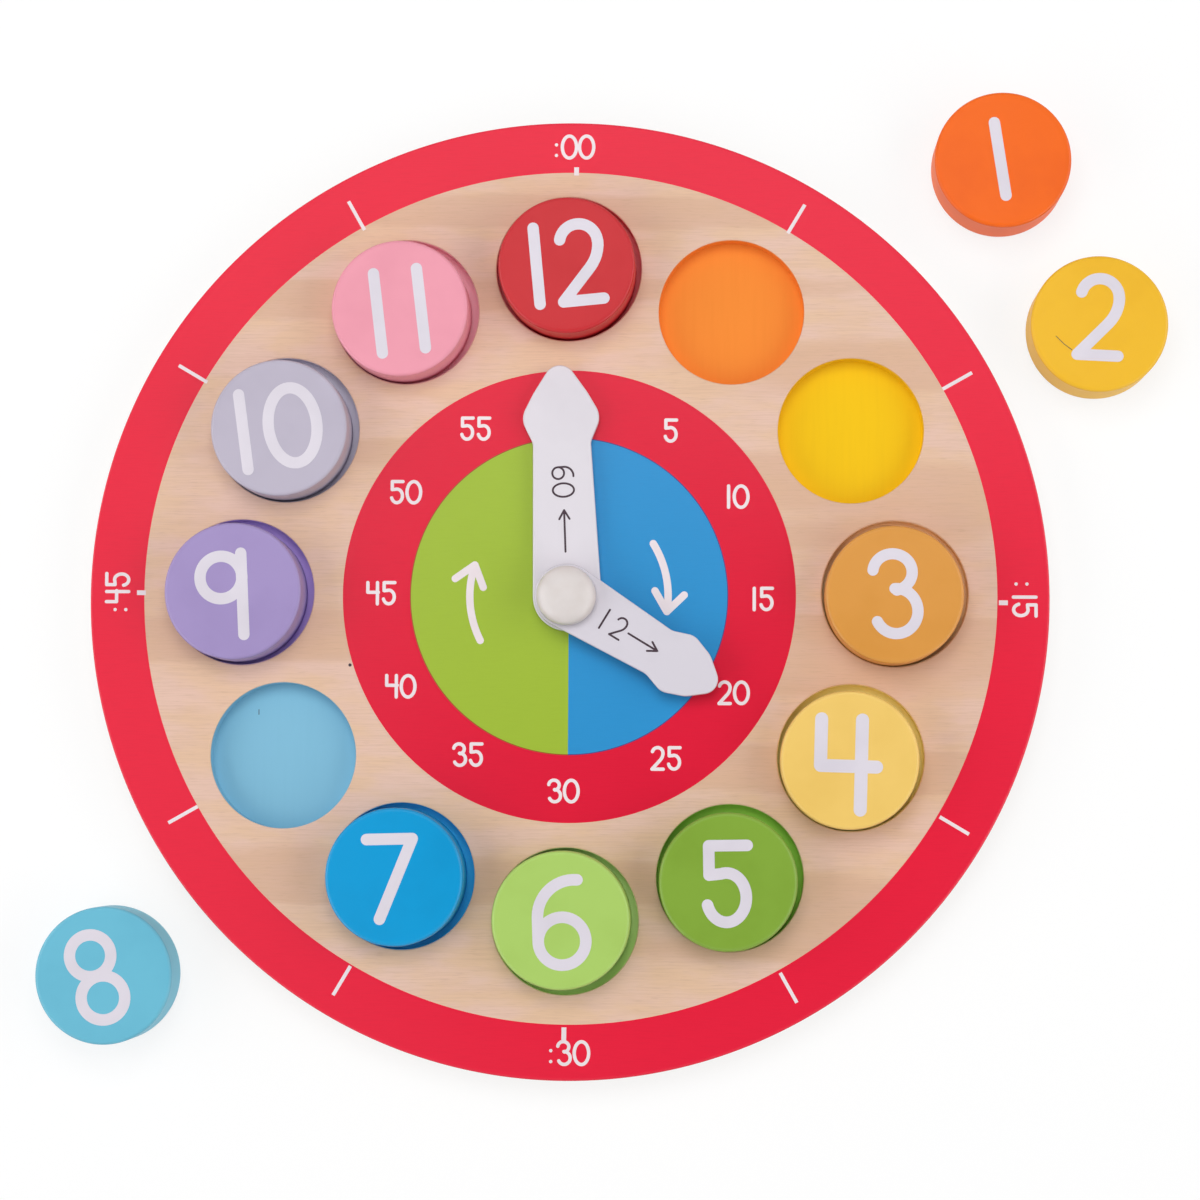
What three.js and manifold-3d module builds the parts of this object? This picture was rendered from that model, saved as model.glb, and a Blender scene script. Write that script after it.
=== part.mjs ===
// Wooden teaching clock: a round plywood dial with twelve lift-out number discs
// and two hands that are turned by finger. Millimetres. +Z points up out of the
// dial, +Y towards twelve o'clock, and the origin is the centre of the underside.

import * as THREE from 'three';
import { mergeVertices } from 'three/addons/utils/BufferGeometryUtils.js';
import Module from 'manifold-3d';

const wasm = await Module();
wasm.setup();

// Number discs, the sizes that the dial is laid out from
const DISC_RADIUS = 21.3;
const DISC_THICKNESS = 18;
const DISC_EASE = 1.3;
const DISC_FACETS = 40;
const DISC_WALL_GAP = 0.3;

// Recesses: holes through the front board that the back board closes. The web
// is the least wood left between two neighbours.
const HOURS = 12;
const RECESS_CLEARANCE = 1.5;
const RECESS_WEB = 7.25;
const RECESS_EASE = 0.3;
const RECESS_FACETS = 40;
const RECESS_RADIUS = DISC_RADIUS + RECESS_CLEARANCE;
const PITCH_RADIUS = (RECESS_RADIUS + RECESS_WEB / 2) / Math.sin(Math.PI / HOURS);

// The recesses are bored from a jig of their own, whose middle lies a little
// off the spindle, to the left of it and above it
const JIG_LEFT = 0.18;
const JIG_UP = 1.34;

// Dial: two round plywood boards glued face to face. The margin is the wood
// left between a recess and the rim.
const RIM_MARGIN = 25.1;
const BOARD_RADIUS = PITCH_RADIUS + RECESS_RADIUS + RIM_MARGIN;
const BACK_THICKNESS = 6;
const FRONT_THICKNESS = 6;
const BOARD_EASE = 0.6;
const BOARD_FACETS = 96;

// How each seated disc leans in its recess: the clock angle that it leans
// towards, in degrees, and the share of its free play that it takes up
const SEAT_LEANS = {
  3: { turn: 212, playShare: 1 },
  4: { turn: 216, playShare: 1 },
  5: { turn: 207, playShare: 1 },
  6: { turn: 306, playShare: 0.85 },
  7: { turn: 264, playShare: 1 },
  9: { turn: 246, playShare: 1 },
  10: { turn: 239, playShare: 1 },
  11: { turn: 243, playShare: 1 },
  12: { turn: 199, playShare: 0.6 },
};

// Discs lifted out and laid beside the dial: clock angle in degrees, and the
// free space between the disc and the rim of the dial
const LAID_OUT = {
  1: { turn: 44.7, gap: 21.2 },
  2: { turn: 62.7, gap: 14.5 },
  8: { turn: 230.4, gap: 14.3 },
};

// Hands, each sawn from sheet with an arrowhead and eased edges. The minute hand
// stops short of the recesses, and the hour hand is shorter than that. The shares
// are of the hand's reach, and say how far out its neck and its shoulders lie.
const HAND_TIP_GAP = 6.7;
const HOUR_SHORTFALL = 18.4;
const MINUTE_HAND = {
  reach: PITCH_RADIUS - RECESS_RADIUS - HAND_TIP_GAP,
  hubRadius: 10.7,
  neckWidth: 18.1,
  neckShare: 0.665,
  neckRound: 4,
  headWidth: 24.5,
  headShare: 0.775,
  headRound: 6.5,
  tipRound: 4.6,
  turn: -2.3,
};
const HOUR_HAND = {
  reach: MINUTE_HAND.reach - HOUR_SHORTFALL,
  hubRadius: 10,
  neckWidth: 15.7,
  neckShare: 0.62,
  neckRound: 5,
  headWidth: 20.1,
  headShare: 0.745,
  headRound: 4.6,
  tipRound: 3.8,
  turn: 121.2,
};
const MINUTE_THICKNESS = 3;
const HOUR_THICKNESS = 3;
const HAND_EASE = 0.5;
const ARC_STEP_DEGREES = 14;

// Spindle: a pan-head screw clamps a sleeve on the dial, and the hands turn
// on the sleeve between washers
const SHANK_RADIUS = 1.75;
const SHANK_CLEARANCE = 0.3;
const PILOT_DEPTH = 3.5;
const SHANK_TIP_GAP = 0.5;
const SHANK_POINT = 1.6;
const HEAD_RADIUS = 3.4;
const HEAD_HEIGHT = 2;
const HEAD_ROUND = 1.1;
const SLEEVE_WALL = 1.75;
const SLEEVE_EASE = 0.3;
const HAND_CLEARANCE = 0.3;
const WASHER_RADIUS = 8.4;
const WASHER_THICKNESS = 0.5;
const HUB_FACETS = 32;

// Wave spring that gives the hands their drag
const SPRING_SPACE = 1;
const SPRING_THICKNESS = 0.35;
const SPRING_CREST_GAP = 0.05;
const SPRING_WAVES = 3;
const SPRING_RADIUS = 7;
const SPRING_BAND = 2.2;
const SPRING_FACETS = 48;

// Snap cap: a base washer held under the screw head, and a hollow dome
const BASE_RADIUS = 7.4;
const BASE_FLOOR = 0.8;
const BASE_BEAD = 0.6;
const BASE_BEAD_HEIGHT = 0.7;
const CAP_RISE = 6.2;
const CAP_SKIRT = 2.4;
const CAP_WALL = 0.8;
const CAP_SIDE_WALL = 0.9;
const CAP_GAP = 0.3;
const CAP_RADIUS = BASE_RADIUS + BASE_BEAD + CAP_GAP + CAP_SIDE_WALL;
const CAP_RIM_EASE = 0.25;
const DOME_STEPS = 5;

// Overrun of every cutting tool past the face it cuts
const OVERRUN = 1;

// Heights of the stack, from the underside up
const RECESS_FLOOR = BACK_THICKNESS;
const FACE = BACK_THICKNESS + FRONT_THICKNESS;
const MINUTE_BOTTOM = FACE + WASHER_THICKNESS;
const MINUTE_TOP = MINUTE_BOTTOM + MINUTE_THICKNESS;
const HOUR_BOTTOM = MINUTE_TOP + WASHER_THICKNESS;
const HOUR_TOP = HOUR_BOTTOM + HOUR_THICKNESS;
const SLEEVE_TOP = HOUR_TOP + SPRING_SPACE;
const HEAD_SEAT = SLEEVE_TOP + BASE_FLOOR;

// Radii of what turns on or passes through what
const SHANK_HOLE_RADIUS = SHANK_RADIUS + SHANK_CLEARANCE;
const SLEEVE_RADIUS = SHANK_HOLE_RADIUS + SLEEVE_WALL;
const HAND_BORE_RADIUS = SLEEVE_RADIUS + HAND_CLEARANCE;

// Paints and bare materials
const BIRCH = new THREE.MeshStandardMaterial({ color: 0xe0c4a8, roughness: 0.55, metalness: 0 });
const HAND_PAINT = new THREE.MeshStandardMaterial({ color: 0xe4dfe8, roughness: 0.35, metalness: 0 });
const CAP_PLASTIC = new THREE.MeshStandardMaterial({ color: 0xddd5d0, roughness: 0.2, metalness: 0 });
const NYLON = new THREE.MeshStandardMaterial({ color: 0xe8e6e0, roughness: 0.4, metalness: 0 });
const FIBRE = new THREE.MeshStandardMaterial({ color: 0xc9b79a, roughness: 0.8, metalness: 0 });
const STEEL = new THREE.MeshStandardMaterial({ color: 0xb9bcc0, roughness: 0.3, metalness: 1 });
const BRASS = new THREE.MeshStandardMaterial({ color: 0xc9a24a, roughness: 0.35, metalness: 1 });
const DISC_COLOURS = {
  1: 0xf16d25,
  2: 0xefbd37,
  3: 0xdb9b49,
  4: 0xf0cb72,
  5: 0x85aa40,
  6: 0xadcf6c,
  7: 0x029ad1,
  8: 0x70bed5,
  9: 0xa492c6,
  10: 0xbfb8ca,
  11: 0xef9fb0,
  12: 0xcb3b42,
};

// Position-only geometry with shared vertices and no collapsed triangles
function sealed(geometry) {
  geometry.deleteAttribute('normal');
  geometry.deleteAttribute('uv');
  const merged = mergeVertices(geometry);
  const corners = Array.from(merged.index.array);
  const kept = [];
  for (let i = 0; i < corners.length; i += 3) {
    const [a, b, c] = corners.slice(i, i + 3);
    if (a !== b && b !== c && c !== a) kept.push(a, b, c);
  }
  merged.setIndex(kept);
  return merged;
}

function solidOf(geometry) {
  const closed = sealed(geometry);
  const vertProperties = new Float32Array(closed.attributes.position.array);
  const triVerts = new Uint32Array(closed.index.array);
  return new wasm.Manifold(new wasm.Mesh({ numProp: 3, vertProperties, triVerts }));
}

function geometryOf(solid) {
  const mesh = solid.getMesh();
  const geometry = new THREE.BufferGeometry();
  geometry.setAttribute('position', new THREE.BufferAttribute(mesh.vertProperties, 3));
  geometry.setIndex(new THREE.BufferAttribute(mesh.triVerts, 1));
  geometry.computeVertexNormals();
  return geometry;
}

function radians(degrees) {
  return THREE.MathUtils.degToRad(degrees);
}

// Point of a plan, or of a profile as radius and height
function point(x, y) {
  return new THREE.Vector2(x, y);
}

// Place on the dial at a clock angle, measured clockwise from twelve
function clockPlace(turn, distance) {
  return point(Math.sin(radians(turn)), Math.cos(radians(turn))).multiplyScalar(distance);
}

// Middle of the recess of an hour
function recessPlace(hour) {
  return clockPlace((hour * 360) / HOURS, PITCH_RADIUS).add(point(-JIG_LEFT, JIG_UP));
}

// Points of an arc about a centre, both ends included
function arc(centreX, centreY, radius, from, to, steps) {
  return Array.from({ length: steps + 1 }, (unused, i) => {
    const angle = from + ((to - from) * i) / steps;
    return new THREE.Vector2(centreX + radius * Math.cos(angle), centreY + radius * Math.sin(angle));
  });
}

// Solid of revolution about Z from a profile of radius and height, listed
// upwards on its outer side
function turned(profile, facets) {
  const geometry = new THREE.LatheGeometry(profile, facets);
  geometry.rotateX(Math.PI / 2);
  return sealed(geometry);
}

// Flat ring between two radii and two heights, with square edges
function ring(inner, outer, bottom, top, facets) {
  const profile = [
    point(inner, bottom),
    point(outer, bottom),
    point(outer, top),
    point(inner, top),
    point(inner, bottom),
  ];
  return turned(profile, facets);
}

function piece(name, geometry, material) {
  const mesh = new THREE.Mesh(geometry, material);
  mesh.name = name;
  return mesh;
}

// Back board: closes the recesses from below and takes the screw's blind pilot
function backBoard() {
  const easeCentre = BOARD_RADIUS - BOARD_EASE;
  const pilotFloor = BACK_THICKNESS - PILOT_DEPTH;
  const profile = [
    point(0, 0),
    ...arc(easeCentre, BOARD_EASE, BOARD_EASE, -Math.PI / 2, 0, 2),
    point(BOARD_RADIUS, BACK_THICKNESS),
    point(SHANK_HOLE_RADIUS, BACK_THICKNESS),
    point(SHANK_HOLE_RADIUS, pilotFloor),
    point(0, pilotFloor),
  ];
  return piece('back_board', turned(profile, BOARD_FACETS), BIRCH);
}

// Cutter for one recess: straight walls and an eased mouth
function recessCutter() {
  const bottom = BACK_THICKNESS - OVERRUN;
  const mouth = RECESS_RADIUS + RECESS_EASE;
  const profile = [
    point(0, bottom),
    point(RECESS_RADIUS, bottom),
    point(RECESS_RADIUS, FACE - RECESS_EASE),
    point(mouth, FACE),
    point(mouth, FACE + OVERRUN),
    point(0, FACE + OVERRUN),
  ];
  return turned(profile, RECESS_FACETS);
}

function shankCutter() {
  const profile = [
    point(0, BACK_THICKNESS - OVERRUN),
    point(SHANK_HOLE_RADIUS, BACK_THICKNESS - OVERRUN),
    point(SHANK_HOLE_RADIUS, FACE + OVERRUN),
    point(0, FACE + OVERRUN),
  ];
  return turned(profile, HUB_FACETS);
}

// Front board: a ring of twelve recesses and the screw's through hole
function frontBoard() {
  const easeCentre = BOARD_RADIUS - BOARD_EASE;
  const profile = [
    point(0, BACK_THICKNESS),
    point(BOARD_RADIUS, BACK_THICKNESS),
    ...arc(easeCentre, FACE - BOARD_EASE, BOARD_EASE, 0, Math.PI / 2, 2),
    point(0, FACE),
  ];
  let board = solidOf(turned(profile, BOARD_FACETS));
  for (let hour = 1; hour <= HOURS; hour += 1) {
    const place = recessPlace(hour);
    board = board.subtract(solidOf(recessCutter().translate(place.x, place.y, 0)));
  }
  board = board.subtract(solidOf(shankCutter()));
  return piece('front_board', geometryOf(board), BIRCH);
}

// Number disc: a turned puck with eased edges
function discGeometry() {
  const easeCentre = DISC_RADIUS - DISC_EASE;
  const profile = [
    point(0, 0),
    ...arc(easeCentre, DISC_EASE, DISC_EASE, -Math.PI / 2, 0, 1),
    ...arc(easeCentre, DISC_THICKNESS - DISC_EASE, DISC_EASE, 0, Math.PI / 2, 2),
    point(0, DISC_THICKNESS),
  ];
  return turned(profile, DISC_FACETS);
}

// A seated disc leans to one side of its recess, and a laid-out one lies on the
// same surface as the dial
function discPlace(hour) {
  if (hour in LAID_OUT) {
    const { turn, gap } = LAID_OUT[hour];
    const place = clockPlace(turn, BOARD_RADIUS + gap + DISC_RADIUS);
    return new THREE.Vector3(place.x, place.y, 0);
  }
  const { turn, playShare } = SEAT_LEANS[hour];
  const play = RECESS_RADIUS - DISC_RADIUS - DISC_WALL_GAP;
  const place = recessPlace(hour).add(clockPlace(turn, playShare * play));
  return new THREE.Vector3(place.x, place.y, RECESS_FLOOR);
}

function numberDisc(hour) {
  const colour = DISC_COLOURS[hour];
  const paint = new THREE.MeshStandardMaterial({ color: colour, roughness: 0.3, metalness: 0 });
  const disc = piece(`number_disc_${hour}`, discGeometry(), paint);
  disc.position.copy(discPlace(hour));
  return disc;
}

// Arc that rounds the corner between two neighbours, in steps of a fixed angle
function rounded(before, corner, after, radius) {
  const back = before.clone().sub(corner).normalize();
  const on = after.clone().sub(corner).normalize();
  const half = Math.acos(THREE.MathUtils.clamp(back.dot(on), -1, 1)) / 2;
  const centre = back.clone().add(on).normalize().multiplyScalar(radius / Math.sin(half)).add(corner);
  const reach = radius / Math.tan(half);
  const start = back.multiplyScalar(reach).add(corner).sub(centre);
  const end = on.multiplyScalar(reach).add(corner).sub(centre);
  const sweep = Math.atan2(start.cross(end), start.dot(end));
  const steps = Math.max(2, Math.ceil(Math.abs(sweep) / radians(ARC_STEP_DEGREES)));
  return arc(centre.x, centre.y, radius, start.angle(), start.angle() + sweep, steps);
}

// Outline of a hand that points along +Y: a round hub end, sides that draw in
// to the neck, and an arrowhead with rounded shoulders and tip
function handOutline(hand) {
  const neck = point(hand.neckWidth / 2, hand.reach * hand.neckShare);
  const head = point(hand.headWidth / 2, hand.reach * hand.headShare);
  const sight = point(0, hand.reach - hand.tipRound).sub(head);
  const side = sight.angle() - Math.asin(hand.tipRound / sight.length());
  const tip = point(0, head.y - head.x * Math.tan(side));
  const mirror = (corner) => point(-corner.x, corner.y);
  const contact = neck.angle() - Math.acos(hand.hubRadius / neck.length());
  const right = point(Math.cos(contact), Math.sin(contact)).multiplyScalar(hand.hubRadius);
  const hubSteps = Math.ceil((Math.PI + 2 * contact) / radians(ARC_STEP_DEGREES));
  return [
    ...arc(0, 0, hand.hubRadius, Math.PI - contact, 2 * Math.PI + contact, hubSteps),
    ...rounded(right, neck, head, hand.neckRound),
    ...rounded(neck, head, tip, hand.headRound),
    ...rounded(head, tip, mirror(head), hand.tipRound),
    ...rounded(tip, mirror(head), mirror(neck), hand.headRound),
    ...rounded(mirror(head), mirror(neck), mirror(right), hand.neckRound),
  ];
}

function handGeometry(hand, thickness) {
  const shape = new THREE.Shape(handOutline(hand));
  const bore = arc(0, 0, HAND_BORE_RADIUS, 2 * Math.PI, 0, HUB_FACETS);
  shape.holes.push(new THREE.Path(bore.slice(1)));
  const geometry = new THREE.ExtrudeGeometry(shape, {
    depth: thickness - 2 * HAND_EASE,
    bevelEnabled: true,
    bevelThickness: HAND_EASE,
    bevelSize: HAND_EASE,
    bevelOffset: -HAND_EASE,
    bevelSegments: 1,
  });
  return sealed(geometry.translate(0, 0, HAND_EASE));
}

function turnedHand(name, hand, thickness, bottom) {
  const mesh = piece(name, handGeometry(hand, thickness), HAND_PAINT);
  mesh.position.z = bottom;
  mesh.rotation.z = -radians(hand.turn);
  return mesh;
}

// Sleeve that the hands turn on
function spindleSleeve() {
  const profile = [
    point(SHANK_HOLE_RADIUS, FACE),
    point(SLEEVE_RADIUS, FACE),
    point(SLEEVE_RADIUS, SLEEVE_TOP - SLEEVE_EASE),
    point(SLEEVE_RADIUS - SLEEVE_EASE, SLEEVE_TOP),
    point(SHANK_HOLE_RADIUS, SLEEVE_TOP),
    point(SHANK_HOLE_RADIUS, FACE),
  ];
  return piece('spindle_sleeve', turned(profile, HUB_FACETS), BRASS);
}

// Pan-head screw down through the sleeve into the back board
function spindleScrew() {
  const tip = BACK_THICKNESS - PILOT_DEPTH + SHANK_TIP_GAP;
  const profile = [
    point(0, tip),
    point(SHANK_RADIUS, tip + SHANK_POINT),
    point(SHANK_RADIUS, HEAD_SEAT),
    point(HEAD_RADIUS, HEAD_SEAT),
    ...arc(HEAD_RADIUS - HEAD_ROUND, HEAD_SEAT + HEAD_HEIGHT - HEAD_ROUND, HEAD_ROUND, 0, Math.PI / 2, 3),
    point(0, HEAD_SEAT + HEAD_HEIGHT),
  ];
  return piece('spindle_screw', turned(profile, HUB_FACETS), STEEL);
}

function washer(name, bottom) {
  const geometry = ring(HAND_BORE_RADIUS, WASHER_RADIUS, bottom, bottom + WASHER_THICKNESS, HUB_FACETS);
  return piece(name, geometry, FIBRE);
}

// Wave spring: a flat ring whose height follows a cosine round the circle
function waveSpring() {
  const middle = (HOUR_TOP + SLEEVE_TOP) / 2;
  const bottom = middle - SPRING_THICKNESS / 2;
  const swing = (SPRING_SPACE - SPRING_THICKNESS) / 2 - SPRING_CREST_GAP;
  const inner = SPRING_RADIUS - SPRING_BAND;
  const geometry = ring(inner, SPRING_RADIUS, bottom, bottom + SPRING_THICKNESS, SPRING_FACETS);
  const places = geometry.attributes.position;
  for (let i = 0; i < places.count; i += 1) {
    const angle = Math.atan2(places.getY(i), places.getX(i));
    places.setZ(i, places.getZ(i) + swing * Math.cos(SPRING_WAVES * angle));
  }
  return piece('wave_spring', geometry, STEEL);
}

// Base of the snap cap: a dish under the screw head, with a bead for the cap
function capBase() {
  const beadBottom = SLEEVE_TOP + BASE_FLOOR;
  const beadTop = beadBottom + BASE_BEAD_HEIGHT;
  const wellRadius = HEAD_RADIUS + CAP_GAP;
  const profile = [
    point(SHANK_HOLE_RADIUS, SLEEVE_TOP),
    point(BASE_RADIUS, SLEEVE_TOP),
    point(BASE_RADIUS, beadBottom),
    point(BASE_RADIUS + BASE_BEAD, beadBottom),
    point(BASE_RADIUS + BASE_BEAD, beadTop - CAP_RIM_EASE),
    point(BASE_RADIUS + BASE_BEAD - CAP_RIM_EASE, beadTop),
    point(wellRadius, beadTop),
    point(wellRadius, beadBottom),
    point(SHANK_HOLE_RADIUS, beadBottom),
    point(SHANK_HOLE_RADIUS, SLEEVE_TOP),
  ];
  return piece('cap_base', turned(profile, HUB_FACETS), NYLON);
}

// Hollow domed cap whose lip hooks under the bead of its base
function hubCap() {
  const rim = HOUR_TOP + CAP_GAP;
  const skirtTop = rim + CAP_SKIRT;
  const lipTop = SLEEVE_TOP + BASE_FLOOR - CAP_GAP;
  const lipRadius = BASE_RADIUS + CAP_GAP;
  const innerRadius = BASE_RADIUS + BASE_BEAD + CAP_GAP;
  const domeRise = CAP_RISE - CAP_SKIRT;
  const dome = (radius, rise) =>
    Array.from({ length: DOME_STEPS + 1 }, (unused, i) => {
      const angle = (Math.PI * i) / (2 * DOME_STEPS);
      return point(radius * Math.cos(angle), skirtTop + rise * Math.sin(angle));
    });
  const outer = dome(CAP_RADIUS, domeRise);
  const inner = dome(innerRadius, domeRise - CAP_WALL).reverse();
  outer[DOME_STEPS].x = 0;
  inner[0].x = 0;
  const profile = [
    ...inner,
    point(innerRadius, lipTop),
    point(lipRadius, lipTop),
    point(lipRadius, rim),
    point(CAP_RADIUS - CAP_RIM_EASE, rim),
    point(CAP_RADIUS, rim + CAP_RIM_EASE),
    ...outer,
  ];
  return piece('hub_cap', turned(profile, HUB_FACETS), CAP_PLASTIC);
}

const clock = new THREE.Group();
clock.add(backBoard());
clock.add(frontBoard());
for (let hour = 1; hour <= HOURS; hour += 1) {
  clock.add(numberDisc(hour));
}
clock.add(washer('face_washer', FACE));
clock.add(turnedHand('minute_hand', MINUTE_HAND, MINUTE_THICKNESS, MINUTE_BOTTOM));
clock.add(washer('hand_washer', MINUTE_TOP));
clock.add(turnedHand('hour_hand', HOUR_HAND, HOUR_THICKNESS, HOUR_BOTTOM));
clock.add(spindleSleeve());
clock.add(waveSpring());
clock.add(capBase());
clock.add(spindleScrew());
clock.add(hubCap());

export default clock;
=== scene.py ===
"""Wooden teaching clock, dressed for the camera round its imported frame.

The boards, discs, hands and cap are rebuilt finely on the sizes of their frame
nodes, the print lies on them as thin ink, and everything rides on the frame's
bodies. Lengths are millimetres unless a name says otherwise.
"""

import logging
import math
from collections.abc import Callable, Iterable, Sequence
from dataclasses import dataclass, field
from enum import Enum, IntEnum

import bpy
from mathutils import Euler, Matrix, Vector
from mathutils.geometry import delaunay_2d_cdt


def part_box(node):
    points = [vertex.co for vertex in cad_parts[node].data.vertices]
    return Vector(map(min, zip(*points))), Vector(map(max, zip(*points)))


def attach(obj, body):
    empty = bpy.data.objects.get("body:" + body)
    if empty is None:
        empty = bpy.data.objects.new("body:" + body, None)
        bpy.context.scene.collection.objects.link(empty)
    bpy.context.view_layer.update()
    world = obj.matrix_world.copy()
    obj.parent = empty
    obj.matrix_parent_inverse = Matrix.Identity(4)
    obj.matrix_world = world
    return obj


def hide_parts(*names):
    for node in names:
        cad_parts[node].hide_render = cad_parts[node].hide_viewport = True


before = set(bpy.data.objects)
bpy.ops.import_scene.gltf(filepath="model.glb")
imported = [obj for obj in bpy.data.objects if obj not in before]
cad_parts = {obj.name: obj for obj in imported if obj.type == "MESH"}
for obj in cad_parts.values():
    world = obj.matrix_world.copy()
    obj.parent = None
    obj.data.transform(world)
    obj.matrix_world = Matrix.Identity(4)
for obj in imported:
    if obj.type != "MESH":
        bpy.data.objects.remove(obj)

LOG = logging.getLogger("teaching_clock")
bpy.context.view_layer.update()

MM = 0.001
FULL_TURN = 2 * math.pi
HOURS = 12
HOUR_DEGREES = 360 / HOURS

# Distance under which two corners of a flat outline count as one
WELD = 1e-4
# Least angle between two faces that shows as an edge
CREASE_DEGREES = 32
# Band of flat face kept beside each eased edge, so that the ease alone is shaded round
FLAT_BAND = 0.25
# Repeat along Z of a pattern that hardly changes over the clock's thickness
THROUGH = 1000.0
# Least share by which an inset divides at a corner, so that a sharp corner stays near
LEAST_MITRE = 0.5


def linear(colour: str) -> tuple[float, float, float, float]:
    """Turn an sRGB hex colour into a linear colour with full alpha.

    Args:
        colour: Six hex digits, such as "e0c4a8".

    Returns:
        Linear red, green, blue and alpha.
    """
    channels = [int(colour[i:i + 2], 16) / 255 for i in (0, 2, 4)]
    red, green, blue = [c / 12.92 if c <= 0.04045 else ((c + 0.055) / 1.055) ** 2.4 for c in channels]
    return red, green, blue, 1.0


def add_node(tree: bpy.types.NodeTree, kind: str, settings: dict | None = None,
             inputs: dict | None = None, stops: Iterable[tuple[float, str]] = ()) -> bpy.types.Node:
    """Add a node with its settings, values, incoming links and colour stops.

    Args:
        tree: Node tree that the node goes into.
        kind: Blender's class name of the node.
        settings: Values of the node's own properties.
        inputs: Value or source socket for each input, by name or number.
        stops: Place from 0 to 1 and hex colour of each of a colour ramp's two stops.

    Returns:
        The new node.
    """
    node = tree.nodes.new(kind)
    for name, value in (settings or {}).items():
        setattr(node, name, value)
    for name, value in (inputs or {}).items():
        if isinstance(value, bpy.types.NodeSocket):
            tree.links.new(value, node.inputs[name])
        else:
            node.inputs[name].default_value = value
    for k, (place, colour) in enumerate(stops):
        node.color_ramp.elements[k].position = place
        node.color_ramp.elements[k].color = linear(colour)
    return node


def new_material(name: str) -> tuple[bpy.types.Material, bpy.types.NodeTree]:
    """Make a material with an empty node tree.

    Args:
        name: Name of the material.

    Returns:
        The material and its node tree.
    """
    material = bpy.data.materials.new(name)
    material.use_nodes = True
    material.node_tree.nodes.clear()
    return material, material.node_tree


def set_surface(tree: bpy.types.NodeTree, inputs: dict) -> None:
    """End a material's tree in a principled shader with these inputs, and its output."""
    shader = add_node(tree, "ShaderNodeBsdfPrincipled", inputs=inputs)
    add_node(tree, "ShaderNodeOutputMaterial", inputs={"Surface": shader.outputs["BSDF"]})


def per_metre(millimetres: float) -> float:
    """Repeats per metre of a pattern whose repeat is given in millimetres."""
    return 1 / (millimetres * MM)


def pattern_place(tree: bpy.types.NodeTree, *repeats: float) -> bpy.types.NodeSocket:
    """Give the piece's own coordinates in repeats of a pattern.

    Args:
        tree: Node tree that the nodes go into.
        repeats: Repeat along X, Y and Z in millimetres.

    Returns:
        The vector socket for a texture.
    """
    place = add_node(tree, "ShaderNodeTexCoord")
    scale = tuple(per_metre(repeat) for repeat in repeats)
    mapping = add_node(tree, "ShaderNodeMapping",
                       inputs={"Vector": place.outputs["Object"], "Scale": scale})
    return mapping.outputs["Vector"]


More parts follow.
